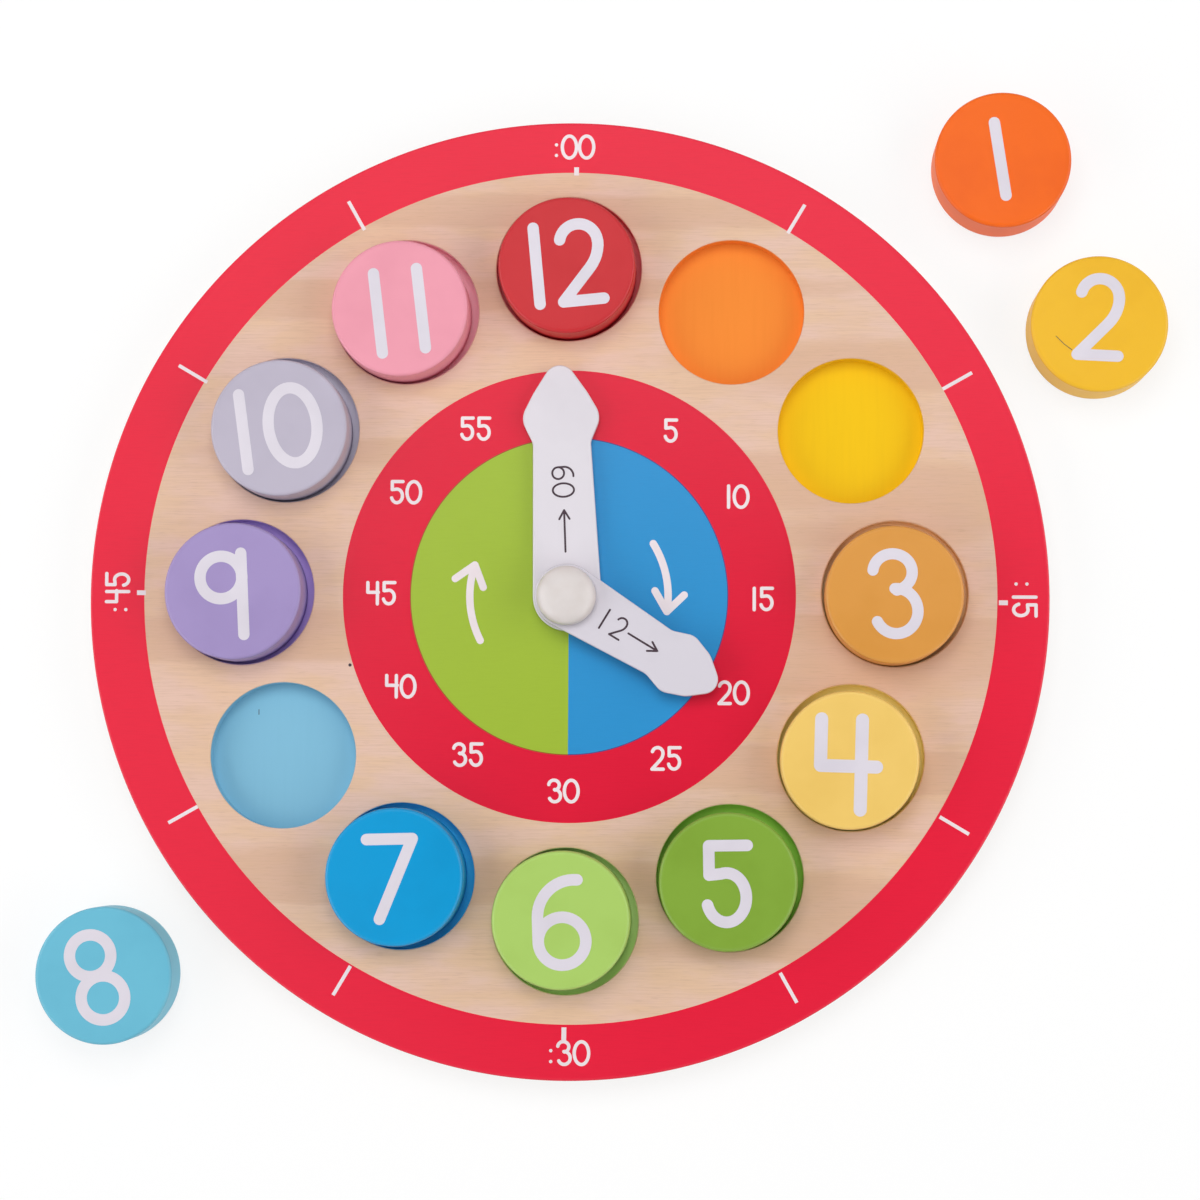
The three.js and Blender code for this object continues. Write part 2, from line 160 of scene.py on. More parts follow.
@dataclass(frozen=True)
class BirchVeneer:
    """Rotary-cut birch face veneer under a thin matt varnish.

    It reads as pale pinkish wood, nearly even, with a cloudy figure that wanders
    between pink and peach, darker strips, and very fine faint fibres and pores that
    all run along X. Each range is the stretch of its noise over which the mark sets in,
    and each share is how far the mark's colour covers the wood at most.
    """

    name: str = "birch_veneer_matt_varnish"
    pink: str = "e0bdac"
    peach: str = "dfbb9e"
    strip: str = "d3ab90"
    dark: str = "cba68c"
    pore: str = "bb947c"
    # Cloudy figure of rotary-cut birch
    figure_length: float = 24.0
    figure_width: float = 9.0
    figure_range: tuple[float, float] = (0.4, 0.6)
    # Fibre between early and late wood, which bends with the figure
    fibre_length: float = 16.0
    fibre_width: float = 0.55
    fibre_bend: float = 2.0
    fibre_range: tuple[float, float] = (0.56, 0.34)
    fibre_share: float = 0.36
    # Strips where the knife met another year's growth
    strip_length: float = 420.0
    strip_width: float = 26.0
    strip_bend: float = 0.16
    strip_range: tuple[float, float] = (0.51, 0.56)
    strip_share: float = 0.75
    # Real pores are about 0.05 mm wide; they are drawn 0.3 mm wide so that they show
    pore_length: float = 5.0
    pore_width: float = 0.3
    pore_range: tuple[float, float] = (0.6, 0.74)
    pore_share: float = 0.3
    pore_depth: float = 0.01
    roughness: float = 0.38
    ior: float = 1.5

    def material(self) -> bpy.types.Material:
        """Build the veneer's material.

        Returns:
            The material.
        """
        material, tree = new_material(self.name)
        figure = add_node(tree, "ShaderNodeTexNoise", inputs={
            "Vector": pattern_place(tree, self.figure_length, self.figure_width, THROUGH),
            "Scale": 1.0, "Detail": 3.0, "Roughness": 0.55})
        bent = add_node(tree, "ShaderNodeVectorMath", {"operation": "MULTIPLY_ADD"}, {
            0: figure.outputs["Color"], 1: (0.0, self.fibre_bend, 0.0),
            2: pattern_place(tree, self.fibre_length, self.fibre_width, THROUGH)})
        fibres = add_node(tree, "ShaderNodeTexNoise", inputs={
            "Vector": bent.outputs[0], "Scale": 1.0, "Detail": 3.0, "Roughness": 0.55})
        wandering = add_node(tree, "ShaderNodeVectorMath", {"operation": "MULTIPLY_ADD"}, {
            0: figure.outputs["Color"], 1: (0.0, self.strip_bend, 0.0),
            2: pattern_place(tree, self.strip_length, self.strip_width, THROUGH)})
        strips = add_node(tree, "ShaderNodeTexNoise", inputs={
            "Vector": wandering.outputs[0], "Scale": 1.0, "Detail": 1.0, "Roughness": 0.4})
        pores = add_node(tree, "ShaderNodeTexNoise", inputs={
            "Vector": pattern_place(tree, self.pore_length, self.pore_width, THROUGH),
            "Scale": 1.0, "Detail": 1.0, "Roughness": 0.4})
        clouds = add_node(tree, "ShaderNodeValToRGB", inputs={"Fac": figure.outputs["Fac"]},
                          stops=zip(self.figure_range, (self.peach, self.pink)))
        colour = clouds.outputs["Color"]
        for noise, easing, stretch, share, tone in (
                (strips, "SMOOTHSTEP", self.strip_range, self.strip_share, self.strip),
                (fibres, "LINEAR", self.fibre_range, self.fibre_share, self.dark),
                (pores, "LINEAR", self.pore_range, self.pore_share, self.pore)):
            mask = add_node(tree, "ShaderNodeMapRange", {"interpolation_type": easing}, {
                "Value": noise.outputs["Fac"], "From Min": stretch[0], "From Max": stretch[1],
                "To Max": share})
            mixed = add_node(tree, "ShaderNodeMix", {"data_type": "RGBA"}, {
                "Factor": mask.outputs["Result"], "A": colour, "B": linear(tone)})
            colour = mixed.outputs["Result"]
        # The last mask is that of the pores, which are the only marks with a depth
        bump = add_node(tree, "ShaderNodeBump", inputs={
            "Height": mask.outputs["Result"], "Strength": 0.35, "Distance": -self.pore_depth * MM})
        set_surface(tree, {"Base Color": colour, "Normal": bump.outputs["Normal"],
                           "Roughness": self.roughness, "IOR": self.ior})
        return material


@dataclass(frozen=True)
class PlywoodEdge:
    """Sawn and sanded edge of birch plywood.

    It reads as thin level layers, long grain pale and end grain darker, with a
    fine glue line between them.
    """

    name: str = "birch_plywood_edge"
    long_grain: str = "dcbb98"
    end_grain: str = "b98d66"
    glue: str = "8d6547"
    ply: float = 1.2
    glue_share: float = 0.08
    # Grain of the sanded ends, as a shade laid over both kinds of layer
    speck_length: float = 1.5
    speck_height: float = 0.5
    speck_range: tuple[float, float] = (0.3, 0.7)
    speck_shade: str = "d8d8d8"
    speck_light: str = "ffffff"
    roughness: float = 0.62
    ior: float = 1.5

    def material(self) -> bpy.types.Material:
        """Build the edge's material.

        Returns:
            The material.
        """
        material, tree = new_material(self.name)
        place = add_node(tree, "ShaderNodeTexCoord")
        axes = add_node(tree, "ShaderNodeSeparateXYZ", inputs={"Vector": place.outputs["Object"]})
        plies = add_node(tree, "ShaderNodeMath", {"operation": "MULTIPLY"}, {
            0: axes.outputs["Z"], 1: per_metre(self.ply)})
        pairs = add_node(tree, "ShaderNodeMath", {"operation": "MULTIPLY"}, {0: plies.outputs[0], 1: 0.5})
        turn = add_node(tree, "ShaderNodeMath", {"operation": "FRACT"}, {0: pairs.outputs[0]})
        crossing = add_node(tree, "ShaderNodeMath", {"operation": "GREATER_THAN"}, {
            0: turn.outputs[0], 1: 0.5})
        within = add_node(tree, "ShaderNodeMath", {"operation": "FRACT"}, {0: plies.outputs[0]})
        seam = add_node(tree, "ShaderNodeMath", {"operation": "LESS_THAN"}, {
            0: within.outputs[0], 1: self.glue_share})
        specks = add_node(tree, "ShaderNodeTexNoise", inputs={
            "Vector": pattern_place(tree, self.speck_length, self.speck_length, self.speck_height),
            "Scale": 1.0, "Detail": 3.0, "Roughness": 0.6})
        layers = add_node(tree, "ShaderNodeMix", {"data_type": "RGBA"}, {
            "Factor": crossing.outputs[0], "A": linear(self.long_grain), "B": linear(self.end_grain)})
        tint = add_node(tree, "ShaderNodeValToRGB", inputs={"Fac": specks.outputs["Fac"]},
                        stops=zip(self.speck_range, (self.speck_shade, self.speck_light)))
        speckled = add_node(tree, "ShaderNodeMix", {"data_type": "RGBA", "blend_type": "MULTIPLY"}, {
            "Factor": 1.0, "A": layers.outputs["Result"], "B": tint.outputs["Color"]})
        colour = add_node(tree, "ShaderNodeMix", {"data_type": "RGBA"}, {
            "Factor": seam.outputs[0], "A": speckled.outputs["Result"], "B": linear(self.glue)})
        set_surface(tree, {"Base Color": colour.outputs["Result"], "Roughness": self.roughness,
                           "IOR": self.ior})
        return material


@dataclass(frozen=True)
class ScreenInk:
    """Opaque screen-printed ink on birch veneer.

    It reads as an even satin colour in which the wood's pores still show as
    faint short dashes.
    """

    name: str
    colour: str
    pore: str
    # Drawn wider than real pores, as those of the bare veneer are
    pore_length: float = 7.0
    pore_width: float = 0.4
    pore_range: tuple[float, float] = (0.45, 0.75)
    pore_share: float = 0.12
    pore_depth: float = 0.006
    roughness: float = 0.18
    ior: float = 1.4

    def material(self) -> bpy.types.Material:
        """Build the ink's material.

        Returns:
            The material.
        """
        material, tree = new_material(self.name)
        pores = add_node(tree, "ShaderNodeTexNoise", inputs={
            "Vector": pattern_place(tree, self.pore_length, self.pore_width, THROUGH),
            "Scale": 1.0, "Detail": 2.0, "Roughness": 0.5})
        start, end = self.pore_range
        mask = add_node(tree, "ShaderNodeMapRange", inputs={
            "Value": pores.outputs["Fac"], "From Min": start, "From Max": end, "To Max": self.pore_share})
        colour = add_node(tree, "ShaderNodeMix", {"data_type": "RGBA"}, {
            "Factor": mask.outputs["Result"], "A": linear(self.colour), "B": linear(self.pore)})
        bump = add_node(tree, "ShaderNodeBump", inputs={
            "Height": pores.outputs["Fac"], "Strength": 0.3, "Distance": -self.pore_depth * MM})
        set_surface(tree, {"Base Color": colour.outputs["Result"], "Normal": bump.outputs["Normal"],
                           "Roughness": self.roughness, "IOR": self.ior})
        return material


@dataclass(frozen=True)
class SprayedPaint:
    """Nitrocellulose paint sprayed on wood, gloss or satin.

    It reads as a full even colour with a soft highlight, a slight orange peel
    and a barely deeper tone where the coat ran thicker.
    """

    name: str
    colour: str
    deep: str
    roughness: float = 0.2
    ior: float = 1.4
    # Orange peel of a sprayed coat
    peel: float = 1.8
    peel_height: float = 0.006
    # Width along X and length along Y of the coat's lighter and deeper places
    cloud: float = 24.0
    cloud_length: float = 24.0
    cloud_range: tuple[float, float] = (0.3, 0.55)

    def material(self) -> bpy.types.Material:
        """Build the paint's material.

        Returns:
            The material.
        """
        material, tree = new_material(self.name)
        clouds = add_node(tree, "ShaderNodeTexNoise", inputs={
            "Vector": pattern_place(tree, self.cloud, self.cloud_length, self.cloud),
            "Scale": 1.0, "Detail": 3.0, "Roughness": 0.55})
        peel = add_node(tree, "ShaderNodeTexNoise", inputs={
            "Vector": pattern_place(tree, self.peel, self.peel, self.peel),
            "Scale": 1.0, "Detail": 2.0, "Roughness": 0.5})
        colour = add_node(tree, "ShaderNodeValToRGB", inputs={"Fac": clouds.outputs["Fac"]},
                          stops=zip(self.cloud_range, (self.deep, self.colour)))
        bump = add_node(tree, "ShaderNodeBump", inputs={
            "Height": peel.outputs["Fac"], "Strength": 0.4, "Distance": self.peel_height * MM})
        set_surface(tree, {"Base Color": colour.outputs["Color"], "Normal": bump.outputs["Normal"],
                           "Roughness": self.roughness, "IOR": self.ior})
        return material


@dataclass(frozen=True)
class MouldedPlastic:
    """Injection-moulded plastic, natural or coloured, which lets a little light in.

    It reads as a smooth waxy body with a clear highlight.
    """

    name: str
    colour: str
    deep: str
    roughness: float
    ior: float = 1.53
    # How much light goes in, how deep, and how far each of red, green and blue goes
    glow: float = 0.25
    glow_depth: float = 1.2
    glow_reach: tuple[float, float, float] = (1.0, 0.9, 0.8)
    cloud: float = 6.0
    cloud_range: tuple[float, float] = (0.3, 0.65)

    def material(self) -> bpy.types.Material:
        """Build the plastic's material.

        Returns:
            The material.
        """
        material, tree = new_material(self.name)
        clouds = add_node(tree, "ShaderNodeTexNoise", inputs={
            "Vector": pattern_place(tree, self.cloud, self.cloud, self.cloud),
            "Scale": 1.0, "Detail": 2.0, "Roughness": 0.5})
        colour = add_node(tree, "ShaderNodeValToRGB", inputs={"Fac": clouds.outputs["Fac"]},
                          stops=zip(self.cloud_range, (self.deep, self.colour)))
        set_surface(tree, {"Base Color": colour.outputs["Color"], "Roughness": self.roughness,
                           "IOR": self.ior, "Subsurface Weight": self.glow,
                           "Subsurface Radius": self.glow_reach,
                           "Subsurface Scale": self.glow_depth * MM})
        return material


@dataclass(frozen=True)
class VulcanisedFibre:
    """Plain vulcanised fibre sheet, punched.

    It reads as dull tan card with short pressed fibres.
    """

    name: str = "vulcanised_fibre"
    light: str = "d2c1a5"
    dark: str = "b8a486"
    fibre_length: float = 1.6
    fibre_width: float = 0.4
    fibre_range: tuple[float, float] = (0.35, 0.65)
    roughness: float = 0.8
    ior: float = 1.5

    def material(self) -> bpy.types.Material:
        """Build the fibre's material.

        Returns:
            The material.
        """
        material, tree = new_material(self.name)
        fibres = add_node(tree, "ShaderNodeTexNoise", inputs={
            "Vector": pattern_place(tree, self.fibre_length, self.fibre_width, self.fibre_width),
            "Scale": 1.0, "Detail": 4.0, "Roughness": 0.6})
        colour = add_node(tree, "ShaderNodeValToRGB", inputs={"Fac": fibres.outputs["Fac"]},
                          stops=zip(self.fibre_range, (self.dark, self.light)))
        set_surface(tree, {"Base Color": colour.outputs["Color"], "Roughness": self.roughness,
                           "IOR": self.ior})
        return material


@dataclass(frozen=True)
class TurnedMetal:
    """Metal turned on a lathe or plated after pressing.

    It reads as bright metal with faint rings left by the tool.
    """

    name: str
    colour: str
    dull: str
    ring_height: float = 0.25
    ring_length: float = 3.0
    ring_range: tuple[float, float] = (0.35, 0.6)
    roughness: float = 0.3

    def material(self) -> bpy.types.Material:
        """Build the metal's material.

        Returns:
            The material.
        """
        material, tree = new_material(self.name)
        rings = add_node(tree, "ShaderNodeTexNoise", inputs={
            "Vector": pattern_place(tree, self.ring_length, self.ring_length, self.ring_height),
            "Scale": 1.0, "Detail": 3.0, "Roughness": 0.5})
        colour = add_node(tree, "ShaderNodeValToRGB", inputs={"Fac": rings.outputs["Fac"]},
                          stops=zip(self.ring_range, (self.dull, self.colour)))
        set_surface(tree, {"Base Color": colour.outputs["Color"], "Metallic": 1.0,
                           "Roughness": self.roughness})
        return material


@dataclass
class Form:
    """Closed shape under construction: corners, faces and the finish number of each face."""

    corners: list[Vector] = field(default_factory=list)
    faces: list[tuple[int, ...]] = field(default_factory=list)
    marks: list[int] = field(default_factory=list)

    def add_corners(self, places: Iterable[Vector]) -> list[int]:
        """Add corners.

        Args:
            places: Places in millimetres.

        Returns:
            The corners' numbers.
        """
        first = len(self.corners)
        self.corners.extend(places)
        return list(range(first, len(self.corners)))

    def add_face(self, corners: tuple[int, ...], mark: int) -> None:
        """Add one face by its corners' numbers, anticlockwise from outside."""
        self.faces.append(corners)
        self.marks.append(mark)

    def add_band(self, low: list[int], high: list[int], mark: int) -> None:
        """Join two closed rings of corners with a band of faces.

        Args:
            low: First ring, or one corner where the band closes to a point.
            high: Second ring, or one corner.
            mark: Finish number.
        """
        count = max(len(low), len(high))
        for k in range(count):
            on = (k + 1) % count
            if len(low) == 1:
                self.add_face((low[0], high[on], high[k]), mark)
            elif len(high) == 1:
                self.add_face((low[k], low[on], high[0]), mark)
            else:
                self.add_face((low[k], low[on], high[on], high[k]), mark)

    def add_turned(self, profile: Sequence[tuple[float, float]], steps: int,
                   centre: Vector, marks: Sequence[int] | None = None) -> None:
        """Add a solid of revolution about an upright axis.

        Args:
            profile: Radius and height of each corner, upwards on the outer side,
                from axis to axis.
            steps: Faces round the axis.
            centre: Place of the axis and of height zero.
            marks: Finish number of each stretch of the profile, all 0 if left out.
        """
        rings: list[list[int]] = []
        for radius, height in profile:
            level = centre + Vector((0, 0, height))
            angles = [FULL_TURN * k / steps for k in range(steps)] if radius else [0.0]
            rings.append(self.add_corners(
                level + Vector((radius * math.cos(angle), radius * math.sin(angle), 0))
                for angle in angles))
        for i, (low, high) in enumerate(zip(rings, rings[1:])):
            self.add_band(low, high, marks[i] if marks else 0)

    def add_flat(self, points: Sequence[Vector], triangles: Iterable[Sequence[int]], height: float,
                 upwards: bool, mark_at: Callable[[Vector], int]) -> list[int]:
        """Add a flat face made of triangles.

        Args:
            points: Corners in plan.
            triangles: Anticlockwise triples of corner numbers.
            height: Level of the face.
            upwards: Whether it faces up.
            mark_at: Gives the finish number at a place in plan.

        Returns:
            The new corners' numbers.
        """
        numbers = self.add_corners(Vector((p.x, p.y, height)) for p in points)
        for a, b, c in triangles:
            mark = mark_at((points[a] + points[b] + points[c]) / 3)
            order = (a, b, c) if upwards else (c, b, a)
            self.add_face(tuple(numbers[i] for i in order), mark)
        return numbers

    def mesh(self, name: str) -> bpy.types.Mesh:
        """Make the mesh in metres, shaded smooth between its creases.

        Args:
            name: Name of the mesh.

        Returns:
            The mesh.
        """
        mesh = bpy.data.meshes.new(name)
        mesh.from_pydata([corner * MM for corner in self.corners], [], self.faces)
        mesh.polygons.foreach_set("material_index", self.marks)
        mesh.polygons.foreach_set("use_smooth", [True] * len(self.faces))
        mesh.set_sharp_from_angle(angle=math.radians(CREASE_DEGREES))
        mesh.validate()
        return mesh


def cover(filled: Sequence[Sequence[Vector]], emptied: Sequence[Sequence[Vector]] = (),
          seams: Sequence[Sequence[Vector]] = ()) -> tuple[list[Vector], list[Sequence[int]]]:
    """Cover the union of outlines with triangles, leaving out other outlines.

    Args:
        filled: Outlines whose inside is covered.
        emptied: Outlines whose inside stays bare.
        seams: Lines that triangle edges have to follow.

    Returns:
        The corners, and the triangles by corner number.
    """
    points: list[Vector] = []
    outlines: list[list[int]] = []
    edges: list[tuple[int, int]] = []
    for outline in (*filled, *emptied):
        outlines.append(list(range(len(points), len(points) + len(outline))))
        points.extend(outline)
    for seam in seams:
        numbers = range(len(points), len(points) + len(seam))
        edges.extend(zip(numbers, numbers[1:]))
        points.extend(seam)
    corners, _, triangles, _, _, origins = delaunay_2d_cdt(points, edges, outlines, 1, WELD)
    kept = [tuple(triangle) for triangle, origin in zip(triangles, origins)
            if origin and all(number < len(filled) for number in origin)]
    return list(corners), kept


def spoke(angle: float) -> Vector:
    """Unit vector in plan at an angle in radians, anticlockwise from X."""
    return Vector((math.cos(angle), math.sin(angle)))


def clock_place(turn: float, distance: float) -> Vector:
    """Place in plan at a clock angle in degrees, clockwise from twelve, and a distance."""
    angle = math.radians(turn)
    return Vector((math.sin(angle), math.cos(angle))) * distance


def clock_spin(turn: float) -> Matrix:
    """Rotation in plan by an angle in degrees, clockwise."""
    return Matrix.Rotation(-math.radians(turn), 2)


def circle(centre: Vector, radius: float, steps: int) -> list[Vector]:
    """Points of a circle in plan, anticlockwise."""
    return [centre + spoke(FULL_TURN * k / steps) * radius for k in range(steps)]


def inset(loop: Sequence[Vector], depth: float) -> list[Vector]:
    """Move a closed loop to its left, which is where the material lies.

    Args:
        loop: Points of the loop.
        depth: Distance to move.

    Returns:
        The moved points.
    """
    moved = []
    for k, place in enumerate(loop):
        back = (place - loop[k - 1]).normalized()
        on = (loop[(k + 1) % len(loop)] - place).normalized()
        left = Vector((-back.y - on.y, back.x + on.x)).normalized()
        stretch = max(left.dot(Vector((-on.y, on.x))), LEAST_MITRE)
        moved.append(place + left * (depth / stretch))
    return moved


def quarter_turn(steps: int) -> list[float]:
    """Angles of a quarter turn in even steps, both ends included."""
    return [math.pi / 2 * k / steps for k in range(steps + 1)]


def lower_edge(ease: float, level: float, steps: int) -> list[tuple[float, float]]:
    """Inset and height of each ring of a rounded lower edge, upwards from its level."""
    return [(ease * (1 - math.sin(a)), level + ease * (1 - math.cos(a))) for a in quarter_turn(steps)]


def upper_edge(ease: float, level: float, steps: int) -> list[tuple[float, float]]:
    """Inset and height of each ring of a rounded upper edge, upwards to its level."""
    return [(ease * (1 - math.cos(a)), level - ease * (1 - math.sin(a))) for a in quarter_turn(steps)]


@dataclass(frozen=True)
class Wall:
    """One loop of a plate's wall, with the material on the loop's left."""

    loop: tuple[Vector, ...]
    top_ease: float = 0.0
    bottom_ease: float = 0.0
    mark: int = 0
    ease_mark: int = 0

    def levels(self, bottom: float, top: float, steps: int) -> list[tuple[float, float]]:
        """Give the inset and height of each ring of the wall, upwards.

        Args:
            bottom: Level of the plate's underside.
            top: Level of its upper side.
            steps: Faces across an eased edge.

        Returns:
            Inset and height of each ring.
        """
        low = lower_edge(self.bottom_ease, bottom, steps) if self.bottom_ease else [(0.0, bottom)]
        high = upper_edge(self.top_ease, top, steps) if self.top_ease else [(0.0, top)]
        return low + high


def add_plate(form: Form, walls: Sequence[Wall], bottom: float, top: float, steps: int,
              seams: Sequence[Sequence[Vector]] = (),
              mark_at: Callable[[Vector], int] = lambda place: 0) -> None:
    """Add a flat plate with eased edges; its first wall is the outer one, the rest are holes.

    Args:
        form: Shape that the plate goes into.
        walls: Outer wall and holes.
        bottom: Level of the underside.
        top: Level of the upper side.
        steps: Faces across an eased edge.
        seams: Lines on the upper side where its finish changes.
        mark_at: Gives the upper side's finish number at a place in plan.
    """
    top_loops = []
    bottom_loops = []
    for wall in walls:
        levels = wall.levels(bottom, top, steps)
        rings = [form.add_corners(Vector((p.x, p.y, height)) for p in inset(wall.loop, depth))
                 for depth, height in levels]
        for low, high, level in zip(rings, rings[1:], levels[1:]):
            eased = wall.top_ease and level[1] > top - wall.top_ease
            form.add_band(low, high, wall.ease_mark if eased else wall.mark)
        flat_top = inset(wall.loop, wall.top_ease + FLAT_BAND)
        flat_bottom = inset(wall.loop, wall.bottom_ease + FLAT_BAND)
        top_ring = form.add_corners(Vector((p.x, p.y, top)) for p in flat_top)
        bottom_ring = form.add_corners(Vector((p.x, p.y, bottom)) for p in flat_bottom)
        form.add_band(rings[-1], top_ring, wall.ease_mark)
        form.add_band(bottom_ring, rings[0], wall.mark)
        top_loops.append(flat_top)
        bottom_loops.append(flat_bottom)
    holes = [list(reversed(loop)) for loop in top_loops[1:]]
    points, triangles = cover(top_loops[:1], holes, seams)
    form.add_flat(points, triangles, top, True, mark_at)
    holes = [list(reversed(loop)) for loop in bottom_loops[1:]]
    points, triangles = cover(bottom_loops[:1], holes)
    form.add_flat(points, triangles, bottom, False, lambda place: 0)


def put(name: str, data: bpy.types.ID) -> bpy.types.Object:
    """Put an object in the scene.

    Args:
        name: Name of the object.
        data: Its mesh, lamp or camera.

    Returns:
        The object.
    """
    thing = bpy.data.objects.new(name, data)
    bpy.context.scene.collection.objects.link(thing)
    return thing


def show(name: str, form: Form, materials: Sequence[bpy.types.Material],
         body: str) -> bpy.types.Object:
    """Put a shape in the scene as a piece that rides on a body.

    Args:
        name: Name of the piece.
        form: Its shape.
        materials: Its materials by finish number.
        body: Body that it rides on.

    Returns:
        The piece.
    """
    mesh = form.mesh(name)
    for material in materials:
        mesh.materials.append(material)
    piece = put(name, mesh)
    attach(piece, body)
    LOG.info("%s on %s, %d faces", name, body, len(mesh.polygons))
    return piece


def lay_ink(name: str, outlines: Sequence[Sequence[Vector]], bottom: float, top: float,
            ink: bpy.types.Material, body: str) -> None:
    """Lay a thin slab of ink over the union of outlines, as a piece that rides on a body.

    Args:
        name: Name of the piece.
        outlines: Outlines in plan, which may overlap.
        bottom: Level of the underside.
        top: Level of the upper side.
        ink: Material of the ink.
        body: Body that it rides on.
    """
    form = Form()
    points, triangles = cover(outlines)
    upper = form.add_flat(points, triangles, top, True, lambda place: 0)
    lower = form.add_flat(points, triangles, bottom, False, lambda place: 0)
    sides = {(a, b) for triangle in triangles for a, b in zip(triangle, (*triangle[1:], triangle[0]))}
    for a, b in sorted(sides):
        if (b, a) not in sides:
            form.add_face((lower[a], lower[b], upper[b], upper[a]), 0)
    show(name, form, [ink], body)


def dress(node: str, material: bpy.types.Material) -> None:
    """Give a frame node its material.

    Args:
        node: Name of the node.
        material: Material that it shows all over.
    """
    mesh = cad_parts[node].data
    mesh.materials.clear()
    mesh.materials.append(material)
    LOG.info("%s dressed in %s", node, material.name)


def middle_of(node: str) -> Vector:
    """Middle of a frame node in plan, at the level of its underside, in millimetres."""
    low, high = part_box(node)
    return Vector(((low.x + high.x) / 2, (low.y + high.y) / 2, low.z)) / MM


@dataclass(frozen=True)
class Stroke:
    """One stroke of a glyph along a stretch of an ellipse, in shares of the glyph's height.

    A straight stroke has no radii and runs between its two ends.
    """

    x: float
    y: float
    to_x: float = 0.0
    to_y: float = 0.0
    radius_x: float = 0.0
    radius_y: float = 0.0
    start: float = 0.0
    end: float = 0.0

    def path(self, height: float, steps: int) -> list[Vector]:
        """Points along the stroke's middle.

        Args:
            height: Height of the glyph.
            steps: Steps for half an ellipse.

        Returns:
            The points, in the glyph's own upright frame.
        """
        if not self.radius_x:
            return [Vector((self.x, self.y)) * height, Vector((self.to_x, self.to_y)) * height]
        count = max(3, round(steps * abs(self.end - self.start) / 180))
        angles = [math.radians(self.start + (self.end - self.start) * k / count) for k in range(count + 1)]
        return [Vector((self.x + self.radius_x * math.cos(angle),
                        self.y + self.radius_y * math.sin(angle))) * height for angle in angles]


def line(x: float, y: float, to_x: float, to_y: float) -> Stroke:
    """Straight stroke between two ends."""
    return Stroke(x, y, to_x, to_y)


def bow(x: float, y: float, radius_x: float, radius_y: float, start: float, end: float) -> Stroke:
    """Curved stroke about a centre, from one angle to another in degrees."""
    return Stroke(x, y, radius_x=radius_x, radius_y=radius_y, start=start, end=end)


# Plain rounded figures, with the origin in the middle of each
GLYPHS: dict[str, tuple[Stroke, ...]] = {
    "0": (bow(0, 0, 0.32, 0.5, 0, 360),),
    "1": (line(0, 0.5, 0, -0.5),),
    "2": (bow(0, 0.2525, 0.247, 0.247, 166, 0), bow(-0.245, 0.2525, 0.495, 0.495, 0, -42),
          line(0.123, -0.079, -0.262, -0.5), line(-0.262, -0.5, 0.262, -0.5)),
    "3": (bow(-0.028, 0.269, 0.245, 0.231, 173, -78), bow(0.012, -0.218, 0.268, 0.282, 93, -153)),
    "4": (line(-0.323, 0.5, -0.323, -0.038), line(-0.323, -0.038, 0.323, -0.038),
          line(0.147, 0.5, 0.147, -0.538)),
    "5": (line(-0.238, 0.5, 0.262, 0.5), line(-0.238, 0.5, -0.238, 0.121),
          line(-0.238, 0.121, -0.083, 0.135), bow(-0.017, -0.173, 0.258, 0.319, 105, -163)),
    "6": (bow(0.147, 0.065, 0.431, 0.431, 86, 180), line(-0.284, 0.065, -0.273, -0.221),
          bow(0.006, -0.221, 0.279, 0.279, 0, 360)),
    "7": (line(-0.288, 0.5, 0.288, 0.5), line(0.288, 0.5, -0.141, -0.5)),
    "8": (bow(0, 0.26, 0.24, 0.24, 0, 360), bow(0, -0.2466, 0.2533, 0.2533, 0, 360)),
    "9": (bow(0.003, 0.213, 0.258, 0.261, 0, 360), line(0.258, 0.5, 0.258, -0.5)),
    "small 4": (line(-0.227, 0.5, -0.227, 0.044), line(-0.227, 0.044, 0.27, 0.044),
                line(0.227, 0.5, 0.227, -0.5)),
    ":": (line(0, 0.1, 0, 0.1), line(0, -0.38, 0, -0.38)),
}


